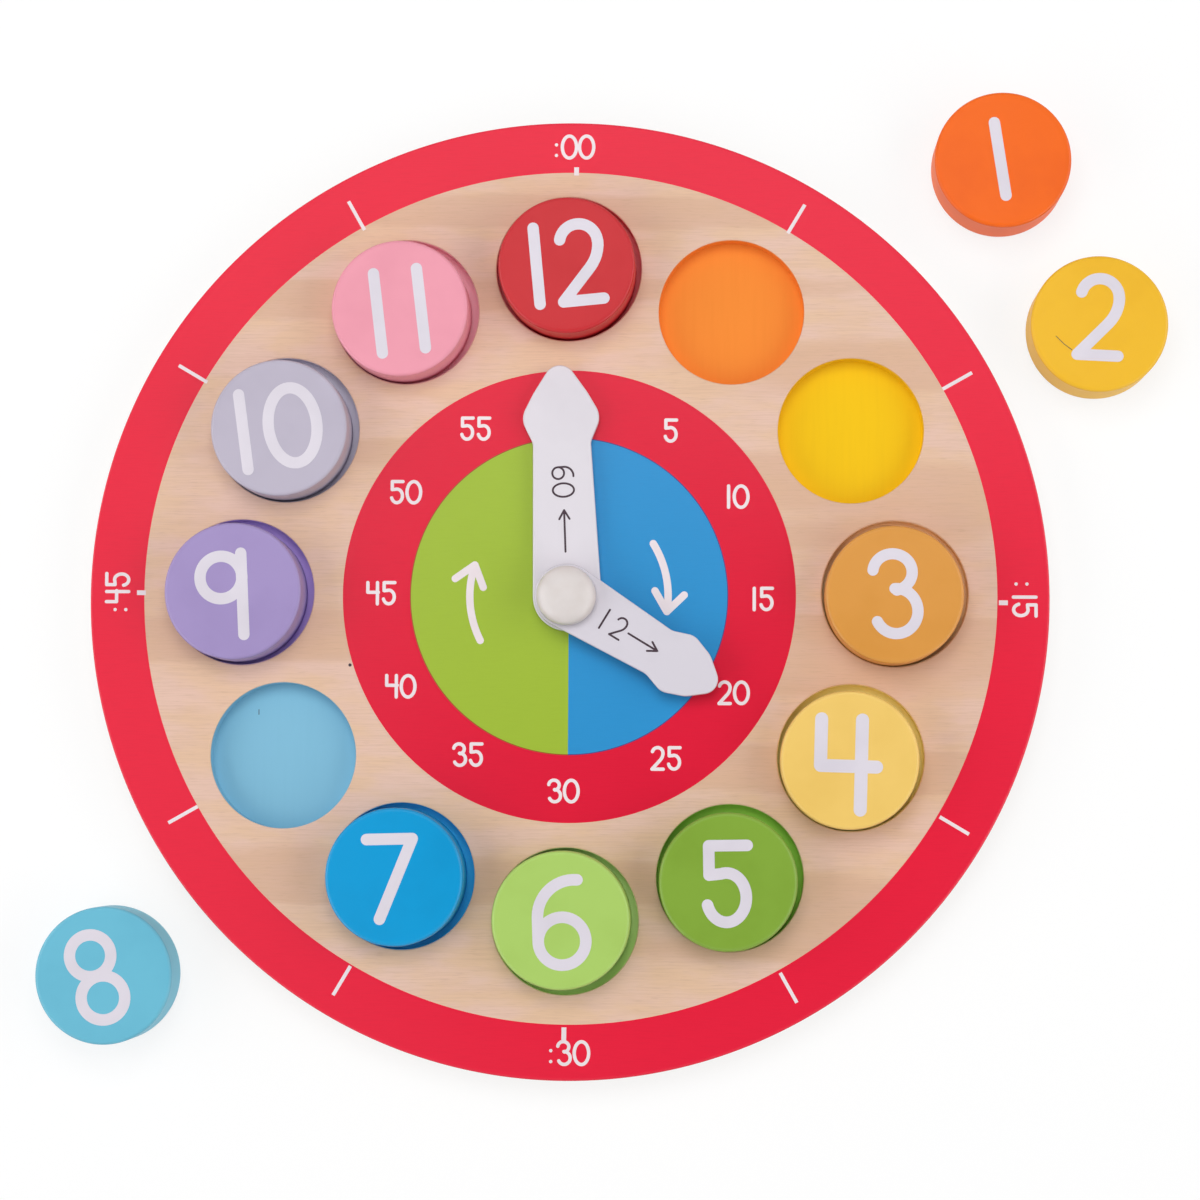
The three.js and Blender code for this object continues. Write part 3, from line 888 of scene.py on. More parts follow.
@dataclass(frozen=True)
class Pen:
    """Round pen that draws strokes as ink outlines."""

    width: float
    cap_steps: int = 10
    bow_steps: int = 26

    def outline(self, path: Sequence[Vector]) -> list[Vector]:
        """Outline of a path drawn with the pen, with round ends.

        Args:
            path: Points along the middle.

        Returns:
            The outline, anticlockwise.
        """
        half = self.width / 2
        if (path[-1] - path[0]).length < WELD and len(path) == 2:
            return circle(path[0], half, 2 * self.cap_steps)
        sides: list[Vector] = []
        for along in (path, list(reversed(path))):
            for k, place in enumerate(along):
                ahead = along[min(k + 1, len(along) - 1)] - along[max(k - 1, 0)]
                right = Vector((ahead.y, -ahead.x)).normalized()
                sides.append(place + right * half)
            end = along[-1] - along[-2]
            angle = math.atan2(-end.x, end.y)
            sides.extend(along[-1] + spoke(angle + math.pi * k / self.cap_steps) * half
                         for k in range(1, self.cap_steps))
        return sides

    def draw(self, strokes: Sequence[Stroke], height: float, centre: Vector, turn: float,
             shift: Vector) -> list[list[Vector]]:
        """Outlines of strokes, placed in plan.

        Args:
            strokes: Strokes in shares of the height.
            height: Height of the glyph.
            centre: Place that the glyph turns about.
            turn: Turn in degrees, clockwise.
            shift: Offset of the glyph in its own upright frame.

        Returns:
            One outline for each half turn of a stroke at most.
        """
        spin = clock_spin(turn)
        outlines = []
        for stroke in strokes:
            path = stroke.path(height, self.bow_steps)
            cuts = [path]
            if abs(stroke.end - stroke.start) > 180:
                middle = len(path) // 2
                cuts = [path[:middle + 1], path[middle:]]
            for cut in cuts:
                outlines.append(self.outline([centre + spin @ (place + shift) for place in cut]))
        return outlines

    def arrow(self, shaft: Sequence[Vector], barb: float, barb_degrees: float) -> list[list[Vector]]:
        """Outlines of an arrow with two barbs at its last point.

        Args:
            shaft: Points along the shaft.
            barb: Length of each barb.
            barb_degrees: Angle between barb and shaft.

        Returns:
            The outlines in plan.
        """
        tip = shaft[-1]
        back = (shaft[-2] - tip).normalized() * barb
        outlines = [self.outline(shaft)]
        for side in (-1, 1):
            spin = Matrix.Rotation(math.radians(side * barb_degrees), 2)
            outlines.append(self.outline([tip + spin @ back, tip]))
        return outlines


class Region(IntEnum):
    """Finish numbers of the printed board."""

    VENEER = 0
    EDGE = 1
    RIM = 2
    RING = 3
    LEFT_HALF = 4
    RIGHT_HALF = 5
    LEFT_OVERPRINT = 6
    RIGHT_OVERPRINT = 7


RED_INK = ScreenInk("red_screen_ink", "e61e3c", "c21730")
RING_INK = ScreenInk("red_screen_ink_inner", "dd1b39", "bb1530")
GREEN_INK = ScreenInk("green_screen_ink", "9eb93a", "8ba530")
BLUE_INK = ScreenInk("blue_screen_ink", "2f90cc", "277db6")
# Where the halves' ink runs a little under the ring's
GREEN_OVERPRINT = ScreenInk("green_under_red_ink", "96552c", "824826")
BLUE_OVERPRINT = ScreenInk("blue_under_red_ink", "4b3f7d", "40356c")
WHITE_INK = SprayedPaint("white_screen_ink", "ebe0e4", "e2d5da", roughness=0.3)
DARK_INK = SprayedPaint("dark_pad_ink", "40303a", "35272f", roughness=0.45)
NUMERAL_INK = SprayedPaint("pale_numeral_ink", "dcd6e0", "d5cfd9", roughness=0.3)
VENEER = BirchVeneer()
PLY_EDGE = PlywoodEdge()

# Paint of each disc and of its recess, which took a thinner and lighter coat. The recess tones of the
# seated discs are lightened much further, as painted light for the shaded gaps round those discs; those
# of the open recesses 1, 2 and 8 are their coat's own tone. Full tone and deeper tone of the disc, then
# tone and streaks of the recess
DISC_PAINTS: dict[int, tuple[str, str, str, str]] = {
    1: ("f26600", "ed6100", "f08a30", "ee882e"),
    2: ("eeb824", "e9b21f", "eec000", "ecbe00"),
    3: ("da9745", "d5923f", "ffdcac", "fddaaa"),
    4: ("f0c96d", "ebc366", "ffee98", "fdec96"),
    5: ("83a83c", "7ea237", "a0da50", "9ed84e"),
    6: ("abce69", "a6c863", "d4f29c", "d2f09a"),
    7: ("0099d4", "0094ce", "38bcf4", "36baf2"),
    8: ("69bad3", "64b4ce", "7fb8d2", "7eb7d1"),
    9: ("a08ec1", "9b89bc", "c2a6ec", "c0a4ea"),
    10: ("b9b2c3", "b4adbe", "d8d2e2", "d6d0e0"),
    11: ("eb99ab", "e694a6", "ffbac8", "fdb8c6"),
    12: ("c6272e", "c1232a", "f07078", "ee6e76"),
}


@dataclass
class Dial:
    """Two glued plywood boards, with the print on the face and the paint in the recesses."""

    rim_steps: int = 288
    hole_steps: int = 96
    ease_steps: int = 3
    rim_ease: float = 0.6
    recess_radius: float = 22.8
    recess_ease: float = 0.3
    pitch_radius: float = 102.098
    # Middle of the ring of recesses, as its boring jig lay on the board
    jig_centre: Vector = field(default_factory=lambda: Vector((-0.18, 1.34)))
    shank_hole_radius: float = 2.05
    shank_hole_steps: int = 24
    # Print, and how far it was laid off the middle of the board
    print_centre: Vector = field(default_factory=lambda: Vector((0.4, 0.46)))
    rim_print_centre: Vector = field(default_factory=lambda: Vector((0.4, 0.7)))
    tick_centre: Vector = field(default_factory=lambda: Vector((0.85, -0.14)))
    rim_print_inner: float = 133.34
    ring_outer: float = 70.84
    ring_inner: float = 49.75
    overprint: float = 0.3
    # The ink stands proud by its thickness and reaches a little under the face; a
    # flush mark stands proud by a skin only
    ink: float = 0.05
    sunk: float = 0.05
    skin: float = 0.01
    # Ticks beside the rim
    tick_turn: float = 0.5
    tick_width: float = 1.1
    long_tick: float = 10.5
    quarter_tick_width: float = 1.5
    quarter_ticks: dict[int, float] = field(default_factory=lambda: {12: 2.6, 3: 2.8, 6: 4.2, 9: 2.8})
    # Numbers in the inner ring: clock angle and distance from the print's middle
    ring_figure_height: float = 6.7
    ring_figure_width: float = 1.05
    ring_figures: dict[str, tuple[float, float]] = field(default_factory=lambda: {
        "5": (31.4, 60.8), "10": (58.9, 60.4), "15": (90.8, 59.8), "20": (120.4, 59.5),
        "25": (148.9, 59.1), "30": (181.4, 60.9), "35": (212.1, 58.7), "40": (241.6, 59.9),
        "45": (270.6, 58.9), "50": (302.2, 60.8), "55": (330.6, 60.2)})
    figure_spread: float = 5.2
    narrow_spread: float = 3.9
    # Plain minutes on the rim at the quarters
    quarter_figure_height: float = 7.0
    quarter_figure_distance: float = 141.8
    # Arrows along the minute hand's way in the two halves: clock angles of both ends
    arrow_width: float = 2.3
    arrow_distance: float = 31.0
    arrow_spans: tuple[tuple[float, float], ...] = ((243.0, 288.0), (58.0, 99.0))
    arrow_barb: float = 7.5
    arrow_barb_degrees: float = 38.0
    arrow_steps: int = 24
    # Thickness of the paint in the recesses
    lining: float = 0.06
    # Speck of dark filler in the veneer beside the ring
    speck_place: Vector = field(default_factory=lambda: Vector((-67.96, -21.43)))
    speck_radius: float = 0.55
    speck_steps: int = 7
    # Short upright nick in the paint on one recess's floor
    nick_hour: int = 8
    nick_place: Vector = field(default_factory=lambda: Vector((-97.21, -36.06)))
    nick_length: float = 1.5
    nick_width: float = 0.24

    def __post_init__(self) -> None:
        """Read the boards' levels and rim from the frame."""
        low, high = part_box("front_board")
        self.radius = high.x / MM
        self.recess_floor = low.z / MM
        self.face = high.z / MM

    def recess_place(self, hour: int) -> Vector:
        """Middle of an hour's recess in plan."""
        return self.jig_centre + clock_place(hour * HOUR_DEGREES, self.pitch_radius)

    def region(self, place: Vector) -> int:
        """Tell which print covers the board's face at a place.

        Args:
            place: Place in plan.

        Returns:
            The finish number.
        """
        offset = place - self.print_centre
        if (place - self.rim_print_centre).length > self.rim_print_inner:
            return Region.RIM
        if offset.length > self.ring_outer:
            return Region.VENEER
        if offset.length > self.ring_inner:
            return Region.RING
        if offset.length > self.ring_inner - self.overprint:
            return Region.LEFT_OVERPRINT if offset.x < 0 else Region.RIGHT_OVERPRINT
        return Region.LEFT_HALF if offset.x < 0 else Region.RIGHT_HALF

    def materials(self) -> list[bpy.types.Material]:
        """Materials of the boards by finish number."""
        return [finish.material() for finish in (VENEER, PLY_EDGE, RED_INK, RING_INK, GREEN_INK, BLUE_INK,
                                                 GREEN_OVERPRINT, BLUE_OVERPRINT)]

    def build_front(self, materials: Sequence[bpy.types.Material]) -> None:
        """Build the printed front board in place of its node.

        Args:
            materials: Materials of the boards by finish number.
        """
        origin = Vector((0, 0))
        rim = Wall(tuple(circle(origin, self.radius, self.rim_steps)), top_ease=self.rim_ease,
                   mark=Region.EDGE, ease_mark=Region.RIM)
        recesses = [circle(self.recess_place(hour), self.recess_radius, self.hole_steps)
                    for hour in range(1, HOURS + 1)]
        holes = [Wall(tuple(reversed(loop)), top_ease=self.recess_ease, mark=Region.EDGE,
                      ease_mark=Region.VENEER) for loop in recesses]
        shank_hole = circle(origin, self.shank_hole_radius, self.shank_hole_steps)
        holes.append(Wall(tuple(reversed(shank_hole)), mark=Region.EDGE, ease_mark=Region.LEFT_HALF))
        seams = []
        for centre, radius in ((self.rim_print_centre, self.rim_print_inner),
                               (self.print_centre, self.ring_outer), (self.print_centre, self.ring_inner),
                               (self.print_centre, self.ring_inner - self.overprint)):
            loop = circle(centre, radius, self.rim_steps)
            seams.append([*loop, loop[0]])
        down = Vector((0, self.ring_inner))
        seams.append([self.print_centre - down, self.print_centre + down])
        form = Form()
        add_plate(form, [rim, *holes], self.recess_floor, self.face, self.ease_steps, seams, self.region)
        piece = show("front_board_printed", form, materials, "dial")
        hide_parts("front_board")

    def build_back(self, materials: Sequence[bpy.types.Material]) -> None:
        """Build the plain back board in place of its node.

        Args:
            materials: Materials of the boards by finish number.
        """
        edge = lower_edge(self.rim_ease, 0.0, self.ease_steps)
        rounding = [(self.radius - depth, height) for depth, height in edge]
        profile = [(0.0, 0.0), (self.radius - self.rim_ease - FLAT_BAND, 0.0), *rounding,
                   (self.radius, self.recess_floor), (self.radius - FLAT_BAND, self.recess_floor),
                   (0.0, self.recess_floor)]
        marks = [Region.VENEER] * (2 + self.ease_steps) + [Region.EDGE] + [Region.VENEER] * 2
        form = Form()
        form.add_turned(profile, self.rim_steps, Vector((0, 0, 0)), marks)
        piece = show("back_board_veneered", form, materials[:2], "dial")
        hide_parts("back_board")

    def build_linings(self) -> None:
        """Lay a coat of paint on the floor and wall of each recess."""
        for hour in range(1, HOURS + 1):
            # The recess tone of a seated disc is painted light: it is lighter than the real coat, to
            # brighten the shaded gap round the disc
            _, _, light, streak = DISC_PAINTS[hour]
            paint_with_painted_light = SprayedPaint(f"recess_{hour}_paint", light, streak, roughness=0.5, cloud=1.6,
                                 cloud_length=30.0)
            place = self.recess_place(hour)
            outer = self.recess_radius - self.skin
            inner = outer - self.lining
            floor = self.recess_floor
            brim = self.face - self.recess_ease
            profile = [(0.0, floor - self.sunk), (outer, floor - self.sunk), (outer, brim), (inner, brim),
                       (inner, floor + self.lining + FLAT_BAND), (inner, floor + self.lining),
                       (inner - FLAT_BAND, floor + self.lining), (0.0, floor + self.lining)]
            form = Form()
            form.add_turned(profile, self.hole_steps, Vector((place.x, place.y, 0)))
            show(f"recess_{hour}_lining", form, [paint_with_painted_light.material()], "dial")

    def figure(self, pen: Pen, text: str, height: float, centre: Vector,
               turn: float = 0.0) -> list[list[Vector]]:
        """Outlines of a short number, set about its middle.

        Args:
            pen: Pen that draws it.
            text: Digits and colons.
            height: Height of the figures.
            centre: Middle of the number.
            turn: Turn in degrees, clockwise.

        Returns:
            The outlines in plan.
        """
        steps = [self.narrow_spread if {a, b} & {"1", ":"} else self.figure_spread
                 for a, b in zip(text, text[1:])]
        scale = height / self.ring_figure_height
        offset = -sum(steps) / 2
        outlines = []
        for digit, step in zip(text, [*steps, 0.0]):
            strokes = GLYPHS["small 4" if digit == "4" else digit]
            outlines += pen.draw(strokes, height, centre, turn, Vector((offset * scale, 0)))
            offset += step
        return outlines

    def build_print(self) -> None:
        """Lay the white ticks, minutes and arrows on the printed rings."""
        outlines = []
        for hour in range(1, HOURS + 1):
            quarter = hour in self.quarter_ticks
            length = self.quarter_ticks.get(hour, self.long_tick)
            half = (self.quarter_tick_width if quarter else self.tick_width) / 2
            spin = clock_spin(hour * HOUR_DEGREES + self.tick_turn)
            corners = ((half, self.rim_print_inner), (half, self.rim_print_inner + length),
                       (-half, self.rim_print_inner + length), (-half, self.rim_print_inner))
            outlines.append([self.tick_centre + spin @ Vector(corner) for corner in corners])
        pen = Pen(self.ring_figure_width)
        for text, (turn, distance) in self.ring_figures.items():
            outlines += self.figure(pen, text, self.ring_figure_height,
                                    self.print_centre + clock_place(turn, distance))
        for quarter, text in enumerate((":00", ":15", ":30", ":45")):
            turn = 90 * quarter
            centre = self.print_centre + clock_place(turn, self.quarter_figure_distance)
            upright = turn == 180
            outlines += self.figure(pen, text, self.quarter_figure_height, centre, 0 if upright else turn)
        pen = Pen(self.arrow_width)
        for start, end in self.arrow_spans:
            angles = [start + (end - start) * k / self.arrow_steps for k in range(self.arrow_steps + 1)]
            shaft = [self.print_centre + clock_place(angle, self.arrow_distance) for angle in angles]
            outlines += pen.arrow(shaft, self.arrow_barb, self.arrow_barb_degrees)
        lay_ink("white_minutes", outlines, self.face - self.sunk, self.face + self.ink,
                WHITE_INK.material(), "dial")

    def build_speck(self) -> None:
        """Set the speck of dark filler flush in the veneer."""
        speck = circle(self.speck_place, self.speck_radius, self.speck_steps)
        lay_ink("veneer_speck", [speck], self.face - self.sunk, self.face + self.skin,
                DARK_INK.material(), "dial")

    def build_nick(self) -> None:
        """Draw the nick in the paint of its recess."""
        half = Vector((0, self.nick_length / 2))
        level = self.recess_floor + self.lining
        nick = Pen(self.nick_width).outline([self.nick_place - half, self.nick_place + half])
        lay_ink(f"recess_{self.nick_hour}_nick", [nick], level - self.lining / 2, level + self.skin,
                DARK_INK.material(), "dial")

    def build(self) -> None:
        """Build the boards, the paint and the print."""
        materials = self.materials()
        self.build_front(materials)
        self.build_back(materials)
        self.build_linings()
        self.build_print()
        self.build_speck()
        self.build_nick()


@dataclass(frozen=True)
class Numeral:
    """Number on a disc: its figures with their offsets, its height and how it is turned."""

    figures: tuple[tuple[str, float, float], ...]
    height: float
    turn: float
    stroke: float = 3.55


NUMERALS: dict[int, Numeral] = {
    1: Numeral((("1", -0.9, 0.3),), 23.2, -8.8),
    2: Numeral((("2", -0.25, 2.1),), 24.0, 2.9),
    3: Numeral((("3", 0.1, 0.28),), 24.65, -1.0, 3.45),
    4: Numeral((("4", -0.4, -0.8),), 26.6, 1.5, 4.0),
    5: Numeral((("5", -0.2, -0.6),), 23.6, -1.0),
    6: Numeral((("6", 0.35, -0.5),), 26.2, 0.0),
    7: Numeral((("7", -1.15, -0.55),), 24.5, -1.5),
    8: Numeral((("8", -2.0, 0.12),), 26.85, -18.0),
    9: Numeral((("9", -3.5, -1.05),), 25.3, -3.0),
    10: Numeral((("1", -11.1, 0.1), ("0", 4.4, 0.1)), 23.6, -8.0),
    11: Numeral((("1", -6.9, -0.85), ("1", 6.6, -0.85)), 25.1, -7.0),
    12: Numeral((("1", -9.3, 0.45), ("2", 4.35, 0.45)), 24.0, -5.6),
}


class Coat(IntEnum):
    """Finish numbers of a disc."""

    GLOSS = 0
    WALL = 1


@dataclass
class NumberDiscs:
    """Twelve turned and painted discs, each with its number in pale ink.

    One of them has a hairline scratch beside its number.
    """

    steps: int = 128
    ease: float = 1.0
    ease_steps: int = 5
    # The paint sinks into the turned grain of the wall and dries duller there
    wall_roughness: float = 0.5
    ink: float = 0.06
    sunk: float = 0.05
    scratched_hour: int = 2
    # Ends and middle of the scratch, from the disc's centre
    scratch: tuple[tuple[float, float], ...] = ((-13.5, -3.9), (-11.0, -6.4), (-8.6, -8.2))
    scratch_width: float = 0.22
    scratch_depth: float = 0.02

    def build_disc(self, hour: int) -> None:
        """Build one disc in place of its node, and its number on top.

        Args:
            hour: Number of the disc.
        """
        node = f"number_disc_{hour}"
        low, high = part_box(node)
        centre = middle_of(node)
        radius = (high.x - low.x) / 2 / MM
        thickness = (high.z - low.z) / MM
        lower, upper = [[(radius - depth, height) for depth, height in edge]
                        for edge in (lower_edge(self.ease, 0.0, self.ease_steps),
                                     upper_edge(self.ease, thickness, self.ease_steps))]
        flat = radius - self.ease - FLAT_BAND
        profile = [(0.0, 0.0), (flat, 0.0), *lower, (radius, self.ease + FLAT_BAND),
                   (radius, thickness - self.ease - FLAT_BAND), *upper, (flat, thickness),
                   (0.0, thickness)]
        marks = [Coat.WALL if low_radius == high_radius == radius else Coat.GLOSS
                 for (low_radius, _), (high_radius, _) in zip(profile, profile[1:])]
        form = Form()
        form.add_turned(profile, self.steps, centre, marks)
        full, deep, *_ = DISC_PAINTS[hour]
        coats = [SprayedPaint(f"disc_{hour}_gloss_paint", full, deep),
                 SprayedPaint(f"disc_{hour}_wall_paint", full, deep, roughness=self.wall_roughness)]
        body = f"disc_{hour}"
        piece = show(f"disc_{hour}_turned", form, [coat.material() for coat in coats], body)
        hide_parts(node)
        self.build_number(hour, centre, high.z / MM, body)

    def build_number(self, hour: int, centre: Vector, top: float, body: str) -> None:
        """Lay a disc's number on its upper face.

        Args:
            hour: Number of the disc.
            centre: Middle of the disc.
            top: Level of its upper face.
            body: Body that it rides on.
        """
        numeral = NUMERALS[hour]
        pen = Pen(numeral.stroke)
        outlines = []
        for digit, x, y in numeral.figures:
            outlines += pen.draw(GLYPHS[digit], numeral.height, centre.to_2d(), numeral.turn,
                                 Vector((x, y)))
        lay_ink(f"disc_{hour}_number", outlines, top - self.sunk, top + self.ink,
                NUMERAL_INK.material(), body)

    def build_scratch(self) -> None:
        """Draw the hairline scratch on its disc."""
        body = f"disc_{self.scratched_hour}"
        node = f"number_{body}"
        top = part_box(node)[1].z / MM
        centre = middle_of(node).to_2d()
        scratch = Pen(self.scratch_width).outline([centre + Vector(place) for place in self.scratch])
        lay_ink(f"{body}_scratch", [scratch], top - self.sunk, top + self.scratch_depth,
                DARK_INK.material(), body)

    def build(self) -> None:
        """Build all twelve discs."""
        for hour in range(1, HOURS + 1):
            self.build_disc(hour)
        self.build_scratch()


class Pointer(Enum):
    """The two hands by their body and node."""

    MINUTE = "minute_hand"
    HOUR = "hour_hand"


@dataclass(frozen=True)
class HandShape:
    """Sizes of one hand, as sawn from sheet; each share is of the reach."""

    reach: float
    hub_radius: float
    neck_width: float
    neck_share: float
    neck_round: float
    head_width: float
    head_share: float
    head_round: float
    # The flank between shoulder and tip bulges a little
    flank_width: float
    flank_share: float
    flank_round: float
    tip_round: float
    turn: float
    # Mark in dark ink: figures, their distance from the hub, and the clock angle along
    # which they are read, less that of the hand; then both ends of a thin arrow
    figures: str
    figures_distance: float
    reading_turn: float
    arrow_start: float
    arrow_end: float


HAND_SHAPES: dict[Pointer, HandShape] = {
    Pointer.MINUTE: HandShape(
        reach=72.6, hub_radius=10.7, neck_width=18.1, neck_share=0.665, neck_round=4.0,
        head_width=25.3, head_share=0.775, head_round=6.5,
        flank_width=17.0, flank_share=0.88, flank_round=12.0, tip_round=5.0, turn=-2.3,
        figures="60", figures_distance=36.0, reading_turn=180.0, arrow_start=14.0, arrow_end=27.0),
    Pointer.HOUR: HandShape(
        reach=54.2, hub_radius=10.0, neck_width=15.7, neck_share=0.62, neck_round=5.0,
        head_width=20.4, head_share=0.745, head_round=5.2,
        flank_width=15.0, flank_share=0.88, flank_round=8.0, tip_round=4.6, turn=121.2,
        figures="12", figures_distance=16.5, reading_turn=0.0, arrow_start=22.5, arrow_end=33.0),
}

HAND_PAINTS: dict[Pointer, SprayedPaint] = {
    Pointer.MINUTE: SprayedPaint("white_satin_paint", "dcd7de", "d7d2d9", roughness=0.24),
    Pointer.HOUR: SprayedPaint("dull_white_satin_paint", "d5d0d9", "d0cbd4", roughness=0.24),
}


@dataclass
class Hands:
    """Minute hand and hour hand with softened edges and their thin dark marks."""

    ease: float = 0.5
    ease_steps: int = 4
    arc_step: float = 6.0
    bore_radius: float = 4.1
    bore_steps: int = 48
    ink: float = 0.05
    sunk: float = 0.05
    pen_width: float = 0.62
    figure_height: float = 6.6
    figure_spread: float = 5.4
    barb: float = 3.2
    barb_degrees: float = 30.0

    def arc(self, centre: Vector, radius: float, start: float, end: float) -> list[Vector]:
        """Give the points of an arc, both ends included.

        Args:
            centre: Centre of the arc.
            radius: Its radius.
            start: First angle in radians.
            end: Last angle in radians.

        Returns:
            The points.
        """
        count = max(2, math.ceil(abs(end - start) / math.radians(self.arc_step)))
        angles = [start + (end - start) * k / count for k in range(count + 1)]
        return [centre + spoke(angle) * radius for angle in angles]

    def rounded(self, before: Vector, corner: Vector, after: Vector, radius: float) -> list[Vector]:
        """Round a corner by an arc that touches both sides.

        Args:
            before: Corner before it.
            corner: Corner to round.
            after: Corner after it.
            radius: Radius of the arc.

        Returns:
            The points of the arc.
        """
        back = (before - corner).normalized()
        on = (after - corner).normalized()
        half = math.acos(max(-1.0, min(1.0, back.dot(on)))) / 2
        centre = corner + (back + on).normalized() * (radius / math.sin(half))
        reach = radius / math.tan(half)
        start = corner + back * reach - centre
        end = corner + on * reach - centre
        sweep = math.atan2(start.x * end.y - start.y * end.x, start.dot(end))
        first = math.atan2(start.y, start.x)
        return self.arc(centre, radius, first, first + sweep)

    def outline(self, shape: HandShape) -> list[Vector]:
        """Draw a hand that points along Y: hub end, neck, shoulders, flanks and tip.

        Args:
            shape: The hand's sizes.

        Returns:
            The outline, anticlockwise.
        """
        neck = Vector((shape.neck_width / 2, shape.reach * shape.neck_share))
        head = Vector((shape.head_width / 2, shape.reach * shape.head_share))
        flank = Vector((shape.flank_width / 2, shape.reach * shape.flank_share))
        sight = Vector((0, shape.reach - shape.tip_round)) - flank
        side = math.atan2(sight.y, sight.x) - math.asin(shape.tip_round / sight.length)
        tip = Vector((0, flank.y - flank.x * math.tan(side)))
        contact = math.atan2(neck.y, neck.x) - math.acos(shape.hub_radius / neck.length)
        right = spoke(contact) * shape.hub_radius
        left_neck = Vector((-neck.x, neck.y))
        left_head = Vector((-head.x, head.y))
        left_flank = Vector((-flank.x, flank.y))
        left = Vector((-right.x, right.y))
        return [*self.arc(Vector((0, 0)), shape.hub_radius, math.pi - contact, FULL_TURN + contact),
                *self.rounded(right, neck, head, shape.neck_round),
                *self.rounded(neck, head, flank, shape.head_round),
                *self.rounded(head, flank, tip, shape.flank_round),
                *self.rounded(flank, tip, left_flank, shape.tip_round),
                *self.rounded(tip, left_flank, left_head, shape.flank_round),
                *self.rounded(left_flank, left_head, left_neck, shape.head_round),
                *self.rounded(left_head, left_neck, left, shape.neck_round)]

    def build_hand(self, pointer: Pointer, paint_with_painted_light: bpy.types.Material, ink: bpy.types.Material) -> None:
        """Build one hand in place of its node, and its mark.

        Args:
            pointer: Which hand.
            paint_with_painted_light: Its paint.
            ink: Ink of its mark.
        """
        shape = HAND_SHAPES[pointer]
        low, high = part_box(pointer.value)
        spin = clock_spin(shape.turn)
        loop = tuple(spin @ place for place in self.outline(shape))
        bore = tuple(reversed(circle(Vector((0, 0)), self.bore_radius, self.bore_steps)))
        form = Form()
        walls = [Wall(loop, top_ease=self.ease, bottom_ease=self.ease),
                 Wall(bore, top_ease=self.ease, bottom_ease=self.ease)]
        add_plate(form, walls, low.z / MM, high.z / MM, self.ease_steps)
        piece = show(f"{pointer.value}_painted", form, [paint_with_painted_light], pointer.value)
        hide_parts(pointer.value)
        lay_ink(f"{pointer.value}_mark", self.mark(shape), high.z / MM - self.sunk,
                high.z / MM + self.ink, ink, pointer.value)

    def mark(self, shape: HandShape) -> list[list[Vector]]:
        """Outlines of a hand's figures and thin arrow.

        Args:
            shape: The hand's sizes.

        Returns:
            The outlines in plan.
        """
        pen = Pen(self.pen_width)
        turn = shape.turn + shape.reading_turn - 90
        centre = clock_place(shape.turn, shape.figures_distance)
        offset = -self.figure_spread * (len(shape.figures) - 1) / 2
        outlines = []
        for digit in shape.figures:
            outlines += pen.draw(GLYPHS[digit], self.figure_height, centre, turn, Vector((offset, 0)))
            offset += self.figure_spread
        shaft = [clock_place(shape.turn, distance) for distance in (shape.arrow_start, shape.arrow_end)]
        return outlines + pen.arrow(shaft, self.barb, self.barb_degrees)

    def build(self) -> None:
        """Build both hands."""
        ink = DARK_INK.material()
        for pointer, paint_with_painted_light in HAND_PAINTS.items():
            self.build_hand(pointer, paint_with_painted_light.material(), ink)


@dataclass
class Spindle:
    """What the hands turn on, and the snap cap over it."""

    steps: int = 96
    cap_radius: float = 9.2
    cap_wall: float = 0.8
    # Upright part of its wall, below the dome
    skirt: float = 2.4
    rim_ease: float = 0.25
    dome_steps: int = 18
    # Lip inside the rim, which hooks under the bead of the cap's base
    lip_radius: float = 7.7
    inner_radius: float = 8.3
    lip_height: float = 1.2

    def build_cap(self) -> None:
        """Build the domed cap in place of its node."""
        low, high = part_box("hub_cap")
        rim = low.z / MM
        crown = high.z / MM
        shoulder = rim + self.skirt
        quarter = quarter_turn(self.dome_steps)
        rise = crown - shoulder
        outer = [(self.cap_radius * math.cos(a), shoulder + rise * math.sin(a)) for a in quarter]
        outer[-1] = (0.0, crown)
        inner = [(self.inner_radius * math.cos(a), shoulder + (rise - self.cap_wall) * math.sin(a))
                 for a in reversed(quarter)]
        inner[0] = (0.0, crown - self.cap_wall)
        lip = rim + self.lip_height
        profile = [*inner, (self.inner_radius, lip), (self.lip_radius, lip), (self.lip_radius, rim),
                   (self.cap_radius - self.rim_ease, rim), (self.cap_radius, rim + self.rim_ease), *outer]
        form = Form()
        form.add_turned(profile, self.steps, Vector((0, 0, 0)))
        plastic = MouldedPlastic("cream_moulded_plastic", "dcd5d3", "d7cfcc", roughness=0.3, glow=0.1)
        piece = show("hub_cap_domed", form, [plastic.material()], "dial")
        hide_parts("hub_cap")

    def build(self) -> None:
        """Dress the spindle's frame nodes and build the cap."""
        fibre = VulcanisedFibre().material()
        steel = TurnedMetal("zinc_plated_steel", "c4c6c9", "a9acb0").material()
        dress("face_washer", fibre)
        dress("hand_washer", fibre)
        dress("spindle_sleeve", TurnedMetal("turned_brass", "cfa850", "b8913f").material())
        dress("spindle_screw", steel)
        dress("wave_spring", steel)
        dress("cap_base", MouldedPlastic("natural_nylon", "e8e6e0", "dedbd3", roughness=0.4).material())
        self.build_cap()


@dataclass(frozen=True)
class SoftBox:
    """One soft lamp, aimed at the middle of the dial."""

    name: str
    place: tuple[float, float, float]
    width: float
    height: float
    power: float
    # A lamp behind a polarising sheet gives no glare on the paint
    glare: bool = True


